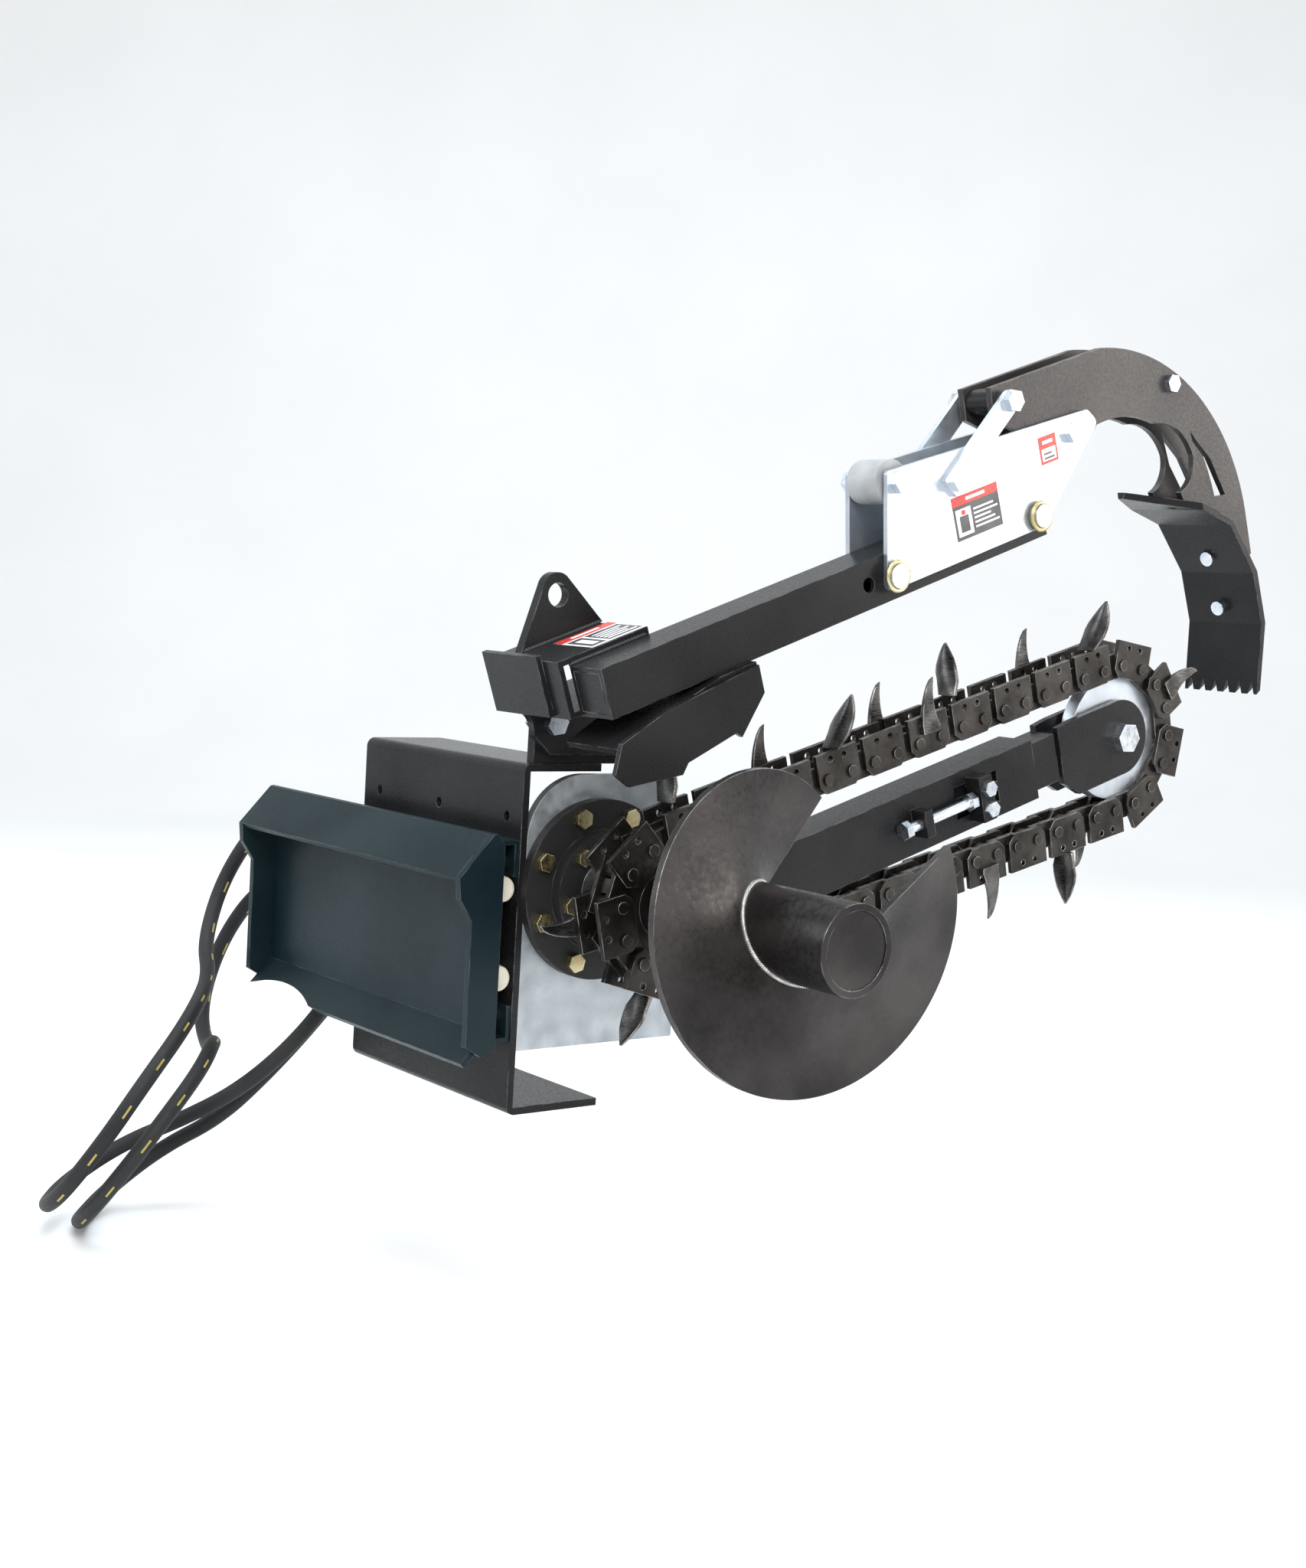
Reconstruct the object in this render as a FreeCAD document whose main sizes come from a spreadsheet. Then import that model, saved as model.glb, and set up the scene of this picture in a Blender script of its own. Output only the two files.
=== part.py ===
import FreeCAD, Part
import Sketcher
import math
import os

# Hydraulic chain trencher for a small stand-on loader.
# Millimetres. X runs forward along the digging boom, Y to the left, Z up.
# Everything is laid out from one corner of the head frame (the right-hand foot corner)
# and then carried to the coupling origin: the middle of the coupler's top crest.

SIZES = [
    # place of the head frame's foot corner, seen from the coupling origin
    ("frame_x", 42.0), ("frame_y", -226.0), ("frame_z", -297.0),
    # head frame: one bent plate, web with a top flange and a foot flange
    ("frame_th", 8.0), ("web_w", 318.0), ("web_high", 368.0), ("top_len", 98.0), ("foot_len", 116.0),
    ("bend_rad", 10.0), ("web_hole_dia", 11.0), ("web_hole_z", 311.0), ("web_corner", 16.0),
    # upright plate that carries the drive head
    ("mount_th", 10.0), ("mount_y", 0.0), ("mount_x", 8.0), ("mount_len", 205.0),
    ("mount_z", 68.0), ("mount_high", 289.0), ("mount_round", 70.0), ("mount_arm", 68.0),
    # drive head
    ("head_x", 98.0), ("head_z", 236.0), ("flange_rad", 96.0), ("flange_th", 12.0),
    ("hub_rad", 64.0), ("hub_th", 14.0), ("bearing_rad", 36.0), ("shaft_rad", 22.0),
    ("flange_bolt_rad", 82.0), ("hub_bolt_rad", 52.0), ("run_gap", 0.06),
    ("motor_rad", 52.0), ("motor_len", 81.0), ("ring_len", 26.0), ("cover_len", 42.0),
    # coupler plate
    ("plate_w", 480.0), ("plate_y", -14.0), ("plate_th", 6.0), ("panel_x", -36.0),
    ("crest_x", -42.0), ("crest_z", 297.0), ("hook_x", -81.0), ("hook_z", 254.0),
    ("lip_x", -64.0), ("lip_z", 62.0), ("side_th", 8.0),
    ("rail_top_z", 289.0), ("rail_low_z", 78.0), ("rail_th", 5.0), ("rail_lip", 38.0), ("rail_len", 400.0),
    ("rail_bolt_rad", 5.0), ("rail_bolt_in", 25.0),
    # digging chain
    ("chain_y", -115.0), ("teeth", 12.0), ("chain_pitch", 34.4), ("idler_rad", 75.1),
    ("wheel_play", 1.2), ("idler_drop", 9.0),
    ("roller_rad", 9.6), ("pin_rad", 6.4), ("link_th", 5.5), ("link_high", 30.0), ("chain_in", 20.0),
    ("links", 54.0), ("play", 0.3), ("fin_high", 72.0), ("cup_high", 84.0), ("cup_reach", 50.0),
    # boom
    ("boom_rise", 17.2), ("boom_drop", 20.0), ("boom_high", 70.0), ("boom_wide", 50.0), ("boom_wall", 6.0),
    ("boom_start", 118.0), ("boom_end", 535.0), ("slide_gap", 0.6),
    ("slide_start", 380.0), ("slide_end", 580.0), ("neck_end", 608.0), ("take_up", 18.0),
    ("yoke_th", 8.0), ("yoke_rad", 45.0), ("axle_rad", 12.0), ("clamp_u", 432.0), ("clamp_w", 12.0),
    ("stop_u", 334.0), ("push_u", 400.0), ("screw_rad", 6.0),
    # upper beam, crumber bracket and crumber
    ("beam_rise", 20.0), ("beam_x", 3.0), ("beam_z", 424.5), ("beam_size", 52.0), ("beam_wall", 5.0),
    ("beam_len", 640.0), ("lock_hole_rad", 8.2), ("lock_pitch", 33.0), ("lock_first", 360.0),
    ("bracket_th", 6.0), ("bracket_gap", 0.5), ("arm_th", 8.0), ("arm_gap", 0.8),
    ("pivot_u", 699.0), ("pivot_w", 103.0), ("brace_low_u", 502.0), ("brace_low_w", 101.0),
    ("brace_top_u", 606.0), ("brace_top_w", 162.0), ("tie_u", 423.0), ("tie_w", 121.0), ("bolt_rad", 7.0),
    ("shoe_w", 110.0), ("shoe_th", 8.0),
    # auger
    ("tube_rad", 44.0), ("tube_wall", 7.0), ("tube_end", -404.0), ("tube_start", -152.0),
    ("flight_rad", 153.0), ("flight_th", 8.0), ("flight_pitch", 156.0), ("flight_start", -236.0),
    # hoses
    ("hose_rad", 9.0), ("cap_rad", 14.0), ("cap_len", 37.0),
]

doc = FreeCAD.newDocument("Trencher")
sheet = doc.addObject("Spreadsheet::Sheet", "Dims")
for row, (word, number) in enumerate(SIZES, start=1):
    sheet.set("A%d" % row, word)
    sheet.set("B%d" % row, str(number))
    sheet.setAlias("B%d" % row, word)
doc.recompute()


class Values:
    """The sheet's numbers by name."""

    def __getattr__(self, word):
        return float(sheet.get(word))


D = Values()
WORDS = sorted((word for word, number in SIZES), key=len, reverse=True)
NODES = []
X_AXIS = FreeCAD.Vector(1, 0, 0)
Y_AXIS = FreeCAD.Vector(0, 1, 0)
Z_AXIS = FreeCAD.Vector(0, 0, 1)


def value(text):
    """A size text such as 'web_w - 2*frame_th' as a number."""
    if not isinstance(text, str):
        return float(text)
    total = 0.0
    for sign, term in terms(text):
        product = sign
        for factor in term.split("*"):
            over = factor.split("/")
            product *= atom(over[0])
            for divisor in over[1:]:
                product /= atom(divisor)
        total += product
    return total


def terms(text):
    """Signed terms of a plain sum of products."""
    found = []
    for piece in text.replace(" ", "").replace("-", "+-").split("+"):
        if piece:
            found.append((-1.0, piece[1:]) if piece[0] == "-" else (1.0, piece))
    return found


def atom(text):
    return float(sheet.get(text)) if text[0].isalpha() else float(text)


def bound(text):
    """The same size text as an expression on the sheet."""
    if not isinstance(text, str):
        return repr(float(text))
    out = []
    for sign, term in terms(text):
        names = []
        for factor in term.split("*"):
            parts = [("Dims." + part) if part[0].isalpha() else part for part in factor.split("/")]
            names.append("/".join(parts))
        out.append((" - " if sign < 0 else " + ") + " * ".join(names))
    return "".join(out).strip().lstrip("+").strip() if out[0].startswith(" +") else "0" + "".join(out)


def vec(x, y, z):
    return FreeCAD.Vector(value(x), value(y), value(z))


def shift():
    """From the head frame's foot corner to the coupling origin."""
    return FreeCAD.Placement(vec("frame_x", "frame_y", "frame_z"), FreeCAD.Rotation())


def keep(obj, label):
    """Name a finished sub-part."""
    obj.Label = label
    NODES.append(obj)
    return obj


def keep_group(label, *pieces):
    """Several separate solids that share one sub-part."""
    obj = doc.addObject("Part::Compound", label + "_group")
    obj.Links = list(pieces)
    return keep(obj, label)


def keep_shape(label, shape):
    """A sub-part whose shape comes from Part's own functions."""
    return keep(feature(label, shape), label)


def feature(name, shape):
    obj = doc.addObject("Part::Feature", name)
    obj.Shape = shape
    obj.Placement = shift().multiply(obj.Placement)
    return obj


# ---------------------------------------------------------------- sketches and plates

def outline(sketch, corners):
    """Closed outline. A corner is (x, y), or (x, y, mid_x, mid_y) when an arc leads to it."""
    count = len(corners)
    points = [FreeCAD.Vector(value(c[0]), value(c[1]), 0) for c in corners]
    ends = []
    for i in range(count):
        nxt = corners[(i + 1) % count]
        start = points[i]
        end = points[(i + 1) % count]
        forward = True
        if len(nxt) == 4:
            middle = FreeCAD.Vector(value(nxt[2]), value(nxt[3]), 0)
            forward = (middle - start).cross(end - middle).z > 0
            sketch.addGeometry(Part.Arc(start, middle, end) if forward else Part.Arc(end, middle, start))
        else:
            sketch.addGeometry(Part.LineSegment(start, end))
        ends.append((1, 2) if forward else (2, 1))
    for i in range(count):
        j = (i + 1) % count
        sketch.addConstraint(Sketcher.Constraint("Coincident", i, ends[i][1], j, ends[j][0]))
        pin_point(sketch, i, ends[i][0], corners[i][0], corners[i][1])
    for i in range(count):
        nxt = corners[(i + 1) % count]
        if len(nxt) == 4:
            middle = FreeCAD.Vector(value(nxt[2]), value(nxt[3]), 0)
            k = sketch.addGeometry(Part.Point(middle), True)
            pin_point(sketch, k, 1, nxt[2], nxt[3])
            sketch.addConstraint(Sketcher.Constraint("PointOnObject", k, 1, i))


def pin_point(sketch, geometry, end, x, y):
    """Tie a point of the sketch to two sizes."""
    for kind, text in (("DistanceX", x), ("DistanceY", y)):
        k = sketch.addConstraint(Sketcher.Constraint(kind, -1, 1, geometry, end, value(text)))
        sketch.setExpression("Constraints[%d]" % k, bound(text))


def ring(sketch, x, y, radius):
    k = sketch.addGeometry(Part.Circle(FreeCAD.Vector(value(x), value(y), 0), Z_AXIS, value(radius)))
    pin_point(sketch, k, 3, x, y)
    c = sketch.addConstraint(Sketcher.Constraint("Radius", k, value(radius)))
    sketch.setExpression("Constraints[%d]" % c, bound(radius))


def sketch_on(body, role, name):
    sketch = body.newObject("Sketcher::SketchObject", name)
    plane = [f for f in body.Origin.OriginFeatures if f.Role == role][0]
    sketch.AttachmentSupport = [(plane, "")]
    sketch.MapMode = "FlatFace"
    return sketch


def plate(label, role, corners, thickness, holes=(), windows=(), rounds=()):
    """A flat plate: padded outline, holes, windows and rounded corners."""
    body = doc.addObject("PartDesign::Body", label)
    sketch = sketch_on(body, role, label + "_outline")
    outline(sketch, corners)
    pad = body.newObject("PartDesign::Pad", label + "_pad")
    pad.Profile = sketch
    pad.setExpression("Length", bound(thickness))
    doc.recompute()
    whole = pad.Shape.Volume
    if holes or windows:
        cut = sketch_on(body, role, label + "_holes")
        for x, y, radius in holes:
            ring(cut, x, y, radius)
        pocket = body.newObject("PartDesign::Pocket", label + "_cut")
        pocket.Profile = cut
        pocket.Type = "ThroughAll"
        pocket.Midplane = True
        doc.recompute()
        if windows:
            cut_windows(body, role, label, windows)
        if body.Shape.Volume >= whole:
            raise RuntimeError(label + ": the holes cut nothing")
    if rounds:
        round_corners(body, role, label, rounds)
    return body


def cut_windows(body, role, label, windows):
    for n, corners in enumerate(windows):
        cut = sketch_on(body, role, "%s_window_%d" % (label, n))
        outline(cut, corners)
        pocket = body.newObject("PartDesign::Pocket", "%s_window_cut_%d" % (label, n))
        pocket.Profile = cut
        pocket.Type = "ThroughAll"
        pocket.Midplane = True
        doc.recompute()


def round_corners(body, role, label, rounds):
    """Fillet the edges that stand on the named corners of the outline."""
    for n, (x, y, radius) in enumerate(rounds):
        base = body.Tip
        names = []
        for k, edge in enumerate(base.Shape.Edges):
            if len(edge.Vertexes) != 2 or edge.Curve.TypeId != "Part::GeomLine":
                continue
            a, b = (v.Point for v in edge.Vertexes)
            flat = {"XZ_Plane": lambda p: (p.x, p.z), "YZ_Plane": lambda p: (p.y, p.z),
                    "XY_Plane": lambda p: (p.x, p.y)}[role]
            near = [math.hypot(flat(p)[0] - value(x), flat(p)[1] - value(y)) < 0.01 for p in (a, b)]
            if all(near):
                names.append("Edge%d" % (k + 1))
        if not names:
            raise RuntimeError("%s: no corner at %s, %s" % (label, x, y))
        fillet = body.newObject("PartDesign::Fillet", "%s_round_%d" % (label, n))
        fillet.Base = (base, names)
        fillet.setExpression("Radius", bound(radius))
        body.Tip = fillet
        doc.recompute()


def place(obj, x=0.0, y=0.0, z=0.0, axis=None, angle=0.0):
    rotation = FreeCAD.Rotation(axis, value(angle)) if axis else FreeCAD.Rotation()
    obj.Placement = shift().multiply(FreeCAD.Placement(vec(x, y, z), rotation))
    return obj


# ---------------------------------------------------------------- primitives

def turned(axis):
    """Rotation that lays a primitive's +Z along an axis."""
    return FreeCAD.Rotation(Z_AXIS, axis)


def cylinder(name, radius, height, x, y, z, axis=Y_AXIS):
    obj = doc.addObject("Part::Cylinder", name)
    obj.setExpression("Radius", bound(radius))
    obj.setExpression("Height", bound(height))
    obj.Placement = shift().multiply(FreeCAD.Placement(vec(x, y, z), turned(axis)))
    return obj


def block(name, length, width, height, x, y, z):
    obj = doc.addObject("Part::Box", name)
    obj.setExpression("Length", bound(length))
    obj.setExpression("Width", bound(width))
    obj.setExpression("Height", bound(height))
    obj.Placement = shift().multiply(FreeCAD.Placement(vec(x, y, z), FreeCAD.Rotation()))
    return obj


def tilted(objects, rise, x, z):
    """Turn pieces laid out level about (x, z) so that they climb forward by the rise angle."""
    pivot = vec(x, 0, z).add(vec("frame_x", "frame_y", "frame_z"))
    turn = FreeCAD.Placement(FreeCAD.Vector(), FreeCAD.Rotation(Y_AXIS, -value(rise)), pivot)
    for obj in objects:
        obj.Placement = turn.multiply(obj.Placement)


def cut(name, base, *tools):
    joined = tools[0]
    if len(tools) > 1:
        joined = fuse(name + "_tools", *tools)
    obj = doc.addObject("Part::Cut", name)
    obj.Base = base
    obj.Tool = joined
    return obj


def fuse(name, *pieces):
    obj = doc.addObject("Part::MultiFuse", name)
    obj.Shapes = list(pieces)
    return obj


# ---------------------------------------------------------------- fasteners

def hexagon(across, height, bottom=0.0):
    radius = across / math.sqrt(3)
    points = [FreeCAD.Vector(radius * math.cos(math.radians(60 * k)),
                             radius * math.sin(math.radians(60 * k)), bottom) for k in range(7)]
    return Part.Face(Part.makePolygon(points)).extrude(FreeCAD.Vector(0, 0, height))


def bolt(radius, grip, nut=True):
    """Hex bolt along -Z: the head sits on z = 0, the nut under z = -grip."""
    across = 3.2 * radius
    shank = Part.makeCylinder(radius, grip + (1.9 * radius if nut else 0), FreeCAD.Vector(0, 0, 0), -Z_AXIS)
    whole = shank.fuse(hexagon(across, 1.3 * radius))
    if nut:
        whole = whole.fuse(hexagon(across, 1.6 * radius, -grip - 1.6 * radius))
    return whole.removeSplitter()


def moved(shape, x, y, z, axis=Z_AXIS, spin=0.0):
    """A copy of a shape made along +Z, laid along an axis."""
    copy = shape.copy()
    lay = FreeCAD.Placement(vec(x, y, z), turned(axis))
    copy.Placement = lay.multiply(FreeCAD.Placement(FreeCAD.Vector(), FreeCAD.Rotation(Z_AXIS, spin)))
    return copy


def group(label, shapes):
    return keep_shape(label, Part.makeCompound(shapes))


def beam_point(u, w):
    """A place given along (u) and above (w) the upper beam's lower rear edge."""
    turn = math.radians(D.beam_rise)
    along = value(u)
    above = value(w)
    return (D.beam_x + along * math.cos(turn) - above * math.sin(turn),
            D.beam_z + along * math.sin(turn) + above * math.cos(turn))


def boom_point(u, w):
    """A place given along (u) and above (w) the boom's centre line, from below the head shaft."""
    turn = math.radians(D.boom_rise)
    start_x = D.head_x + D.boom_drop * math.sin(turn)
    start_z = D.head_z - D.boom_drop * math.cos(turn)
    along = value(u)
    above = value(w)
    return (start_x + along * math.cos(turn) - above * math.sin(turn),
            start_z + along * math.sin(turn) + above * math.cos(turn))


# ---------------------------------------------------------------- head frame and drive

def make_frame():
    corners = [("0", "0"), ("foot_len", "0"), ("foot_len", "frame_th"), ("frame_th", "frame_th"),
               ("frame_th", "web_high - frame_th"), ("top_len", "web_high - frame_th"),
               ("top_len", "web_high"), ("0", "web_high")]
    bends = [("0", "0", "bend_rad"), ("0", "web_high", "bend_rad")]
    body = plate("head_frame_sheet", "XZ_Plane", corners, "web_w", rounds=bends)
    place(body, 0, "web_w", 0)
    deep = "3*frame_th"
    start = "0 - frame_th"
    holes = [cylinder("web_hole_%d" % n, "web_hole_dia/2", deep, start, y, "web_hole_z", X_AXIS)
             for n, y in enumerate(("28", "160", "285"))]
    for n, (y, z) in enumerate(rail_bolt_places()):
        holes.append(cylinder("web_bolt_hole_%d" % n, "rail_bolt_rad", deep, start, y, z, X_AXIS))
    keep(cut("head_frame_cut", body, *holes), "head_frame")


def rail_bolt_places():
    """Across (y) and up (z) places of the bolts that hold the hose rails to the web."""
    return [(y, z) for y in (32, 120, 220, 300)
            for z in ("rail_top_z - rail_bolt_in", "rail_low_z + rail_bolt_in")]


def make_mount_plate():
    far_x = "mount_x + mount_len"
    top = "mount_z + mount_high"
    arm_x = far_x + " + mount_arm"
    corners = [("mount_x", "mount_z"), (far_x, "mount_z"), (far_x, "head_z - 30"), (arm_x, "head_z - 10"),
               (arm_x, "head_z + 66"), (far_x, "head_z + 46"), (far_x, top), ("mount_x", top)]
    rounds = [(far_x, top, "mount_round"), ("mount_x", top, "mount_round")]
    body = plate("mount_plate", "XZ_Plane", corners, "mount_th", rounds=rounds,
                 holes=[("head_x", "head_z", "hub_rad + play")])
    place(body, 0, "mount_y + mount_th", 0)
    keep(body, "mount_plate")


def make_bearing_housing():
    disc = cylinder("housing_disc", "flange_rad", "flange_th", "head_x", "mount_y - flange_th", "head_z")
    nose = cylinder("housing_nose", "hub_rad", "hub_th + flange_th + mount_th", "head_x",
                    "mount_y - flange_th - hub_th", "head_z")
    bore = cylinder("housing_bore", "bearing_rad", "200", "head_x", "mount_y - 100", "head_z")
    keep(cut("housing_cut", fuse("housing_whole", disc, nose), bore), "bearing_housing")
    race = cylinder("race_out", "bearing_rad", "hub_th + flange_th", "head_x",
                    "mount_y - flange_th - hub_th", "head_z")
    hole = cylinder("race_in", "shaft_rad + run_gap", "200", "head_x", "mount_y - 100", "head_z")
    keep(cut("race_cut", race, hole), "head_bearing")
    bolts = []
    for k in range(8):
        angle = math.radians(22.5 + 45 * k)
        x = D.head_x + D.flange_bolt_rad * math.cos(angle)
        z = D.head_z + D.flange_bolt_rad * math.sin(angle)
        head = hexagon(18, 8)
        bolts.append(moved(head, x, D.mount_y - D.flange_th, z, -Y_AXIS, 15 * k))
    for k in range(6):
        angle = math.radians(15 + 60 * k)
        x = D.head_x + D.hub_bolt_rad * math.cos(angle)
        z = D.head_z + D.hub_bolt_rad * math.sin(angle)
        bolts.append(moved(hexagon(16, 7), x, D.mount_y - D.flange_th - D.hub_th, z, -Y_AXIS, 15 * k))
    return bolts


def make_motor():
    start = "mount_y + mount_th"
    flange = cylinder("motor_flange", "motor_rad + 18", "10", "head_x", start, "head_z")
    case = cylinder("motor_case", "motor_rad", "motor_len", "head_x", start, "head_z")
    well = cylinder("motor_well", "shaft_rad + run_gap", "32", "head_x", "mount_y", "head_z")
    keep(cut("motor_cut", fuse("motor_whole", flange, case), well), "motor_body")
    ring_y = "mount_y + mount_th + motor_len"
    ring = cylinder("motor_ring", "motor_rad + 4", "ring_len", "head_x", ring_y, "head_z")
    keep(ring, "motor_gerotor_ring")
    cover_y = "mount_y + mount_th + motor_len + ring_len"
    keep(cylinder("motor_cover", "motor_rad", "cover_len", "head_x", cover_y, "head_z"), "motor_end_cover")
    ports = []
    cover_end = D.mount_y + D.mount_th + D.motor_len + D.ring_len + D.cover_len
    for side in (-1, 1):
        x = D.head_x + side * 24
        ports.append(moved(hexagon(30, 18), x, cover_end, D.head_z + 22, Y_AXIS))
        ports.append(moved(Part.makeCylinder(12, 20), x, cover_end + 18, D.head_z + 22, Y_AXIS))
    group("motor_port_fittings", [a.fuse(b).removeSplitter() for a, b in (ports[:2], ports[2:])])
    bolts = []
    for k in range(4):
        angle = math.radians(45 + 90 * k)
        x = D.head_x + (D.motor_rad + 9) * math.cos(angle)
        z = D.head_z + (D.motor_rad + 9) * math.sin(angle)
        bolts.append(moved(hexagon(14, 7), x, D.mount_y + D.mount_th + 10, z, Y_AXIS))
    return bolts


# ---------------------------------------------------------------- coupler

def make_coupler():
    back = "panel_x + plate_th"
    corners = [("panel_x", "lip_z + 30"), ("lip_x", "lip_z"), ("lip_x + 5", "lip_z - 5"),
               (back, "lip_z + 26"), (back, "crest_z - 3"), ("crest_x + 4", "crest_z + 1"),
               ("crest_x", "crest_z"),
               ("hook_x", "hook_z"), ("hook_x + 4", "hook_z - 5"), ("panel_x", "crest_z - 12")]
    body = plate("coupler_plate_sheet", "XZ_Plane", corners, "plate_w - 2*side_th")
    place(body, 0, "plate_y + plate_w - side_th", 0)
    scoop = cylinder("lip_scoop", "240", "60", "lip_x - 10", "plate_y + 402", "lip_z - 228", X_AXIS)
    keep(cut("coupler_cut", body, scoop), "coupler_plate")
    side = [("panel_x + plate_th + 2", "lip_z + 14"), ("panel_x + plate_th + 2", "crest_z - 10"),
            ("crest_x + 4", "crest_z + 1"), ("crest_x", "crest_z"), ("hook_x", "hook_z"),
            ("hook_x + 2", "hook_z - 22"), ("lip_x", "hook_z - 44"), ("lip_x", "lip_z + 18"),
            ("panel_x - 8", "lip_z + 6")]
    places = (("coupler_side_right", "plate_y + side_th"), ("coupler_side_left", "plate_y + plate_w"))
    sides = [place(plate(label, "XZ_Plane", side, "side_th"), 0, y, 0) for label, y in places]
    keep_group("coupler_side_plates", *sides)


def make_rails():
    """Two lipped angles that join the coupler plate to the head frame and hold the parked hoses."""
    back = "panel_x + plate_th"
    top = [(back, "rail_top_z - rail_th"), (back, "rail_top_z"), ("0", "rail_top_z"),
           ("0", "rail_top_z - rail_lip"), ("0 - rail_th", "rail_top_z - rail_lip"),
           ("0 - rail_th", "rail_top_z - rail_th")]
    low = [(back, "rail_low_z"), ("0", "rail_low_z"), ("0", "rail_low_z + rail_lip"),
           ("0 - rail_th", "rail_low_z + rail_lip"), ("0 - rail_th", "rail_low_z + rail_th"),
           (back, "rail_low_z + rail_th")]
    rails = []
    for n, corners in enumerate((top, low)):
        body = plate("hose_rail_%d" % n, "XZ_Plane", corners, "rail_len")
        place(body, 0, "plate_y + 2*side_th + rail_len", 0)
        holes = [cylinder("rail_hole_%d_%d" % (n, k), "rail_bolt_rad", "30", -15, y, z, X_AXIS)
                 for k, (y, z) in enumerate(rail_bolt_places()) if k % 2 == n]
        rails.append(cut("rail_cut_%d" % n, body, *holes))
    keep_group("hose_rails", *rails)
    return [moved(bolt(D.rail_bolt_rad, D.rail_th + D.frame_th), -D.rail_th, y, z, -X_AXIS)
            for y, z in rail_bolt_places()]


# ---------------------------------------------------------------- chain and its wheels

class Loop:
    """Chain line round the drive sprocket and the nose wheel, in the chain's own plane."""

    def __init__(self):
        self.small = D.chain_pitch / (2 * math.sin(math.pi / D.teeth))
        self.large = D.idler_rad + D.wheel_play + D.roller_rad
        self.head = (D.head_x, D.head_z)
        low, high = 500.0, 900.0
        for step in range(60):
            middle = (low + high) / 2
            if self.length(middle) < D.links * D.chain_pitch:
                low = middle
            else:
                high = middle
        self.span = (low + high) / 2
        self.along = math.sqrt(self.span ** 2 - (D.boom_drop + D.idler_drop) ** 2)
        self.nose = boom_point(self.along, -D.idler_drop)
        self.place_pins()

    def lean(self, span):
        return math.asin((self.large - self.small) / span)

    def length(self, span):
        """Length of the pin polygon: arcs count by their chords."""
        lean = self.lean(span)
        run = span * math.cos(lean)
        small_arc = (math.pi - 2 * lean) / (2 * math.asin(D.chain_pitch / (2 * self.small))) * D.chain_pitch
        large_arc = (math.pi + 2 * lean) / (2 * math.asin(D.chain_pitch / (2 * self.large))) * D.chain_pitch
        return 2 * run + small_arc + large_arc

    def point(self, s):
        """Place on the line at distance s, from the top of the sprocket forward."""
        lean = self.lean(self.span)
        axis = math.atan2(self.nose[1] - self.head[1], self.nose[0] - self.head[0])
        run = self.span * math.cos(lean)
        large_arc = (math.pi + 2 * lean) * self.large
        small_arc = (math.pi - 2 * lean) * self.small
        s = s % (2 * run + large_arc + small_arc)
        up = axis + math.pi / 2 + lean
        down = axis - math.pi / 2 - lean
        if s < run:
            centre, radius, angle, extra = self.head, self.small, up, s
            way = up - math.pi / 2
        elif s < run + large_arc:
            centre, radius, angle, extra = self.nose, self.large, up - (s - run) / self.large, 0.0
            way = angle - math.pi / 2
        elif s < 2 * run + large_arc:
            centre, radius, angle, extra = self.nose, self.large, down, s - run - large_arc
            way = down - math.pi / 2
        else:
            centre, radius = self.head, self.small
            angle = down - (s - 2 * run - large_arc) / self.small
            extra, way = 0.0, angle - math.pi / 2
        return (centre[0] + radius * math.cos(angle) + extra * math.cos(way),
                centre[1] + radius * math.sin(angle) + extra * math.sin(way))

    def place_pins(self):
        lean = self.lean(self.span)
        start = 2 * self.span * math.cos(lean) + (math.pi + 2 * lean) * self.large + 0.26 * self.small
        pins = [self.point(start)]
        s = start
        while len(pins) < int(D.links):
            near, far = s, s + 2 * D.chain_pitch
            for step in range(50):
                middle = (near + far) / 2
                gap = math.dist(self.point(middle), pins[-1])
                near, far = (middle, far) if gap < D.chain_pitch else (near, middle)
            s = (near + far) / 2
            pins.append(self.point(s))
        self.pins = pins
        self.closing = math.dist(pins[0], pins[-1]) - D.chain_pitch

    def link(self, k):
        """Middle of link k and the angle of its line."""
        a = self.pins[k % len(self.pins)]
        b = self.pins[(k + 1) % len(self.pins)]
        return (a[0] + b[0]) / 2, (a[1] + b[1]) / 2, math.atan2(b[1] - a[1], b[0] - a[0])


def link_plate(thickness, rise=0.0):
    """Chain side plate in its own frame: X along the link, Z outward, Y thickness."""
    half = D.chain_pitch / 2 + D.link_high * 0.42
    low = -D.link_high / 2
    high = D.link_high / 2 + rise
    nip = D.link_high * 0.3
    points = [(-half + nip, low), (half - nip, low), (half, low + nip), (half, high), (-half, high),
              (-half, low + nip)]
    corners = [FreeCAD.Vector(x, 0, z) for x, z in points + points[:1]]
    return Part.Face(Part.makePolygon(corners)).extrude(FreeCAD.Vector(0, thickness, 0))


def set_on_link(shape, loop, k):
    x, z, angle = loop.link(k)
    copy = shape.copy()
    lean = FreeCAD.Rotation(Y_AXIS, -math.degrees(angle))
    carry = FreeCAD.Placement(FreeCAD.Vector(x, D.chain_y, z), lean)
    copy.Placement = carry.multiply(copy.Placement)
    return copy


def fin(thickness):
    """Upright digging fin, in the link frame."""
    top = D.link_high / 2 + D.fin_high * 0.75
    points = [(-11, 9.5), (9, 9.5), (6, top * 0.7), (1, top), (-6, top - 3), (-10, top * 0.6)]
    corners = [FreeCAD.Vector(x, 0, z) for x, z in points + points[:1]]
    return Part.Face(Part.makePolygon(corners)).extrude(FreeCAD.Vector(0, thickness, 0))


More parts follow.
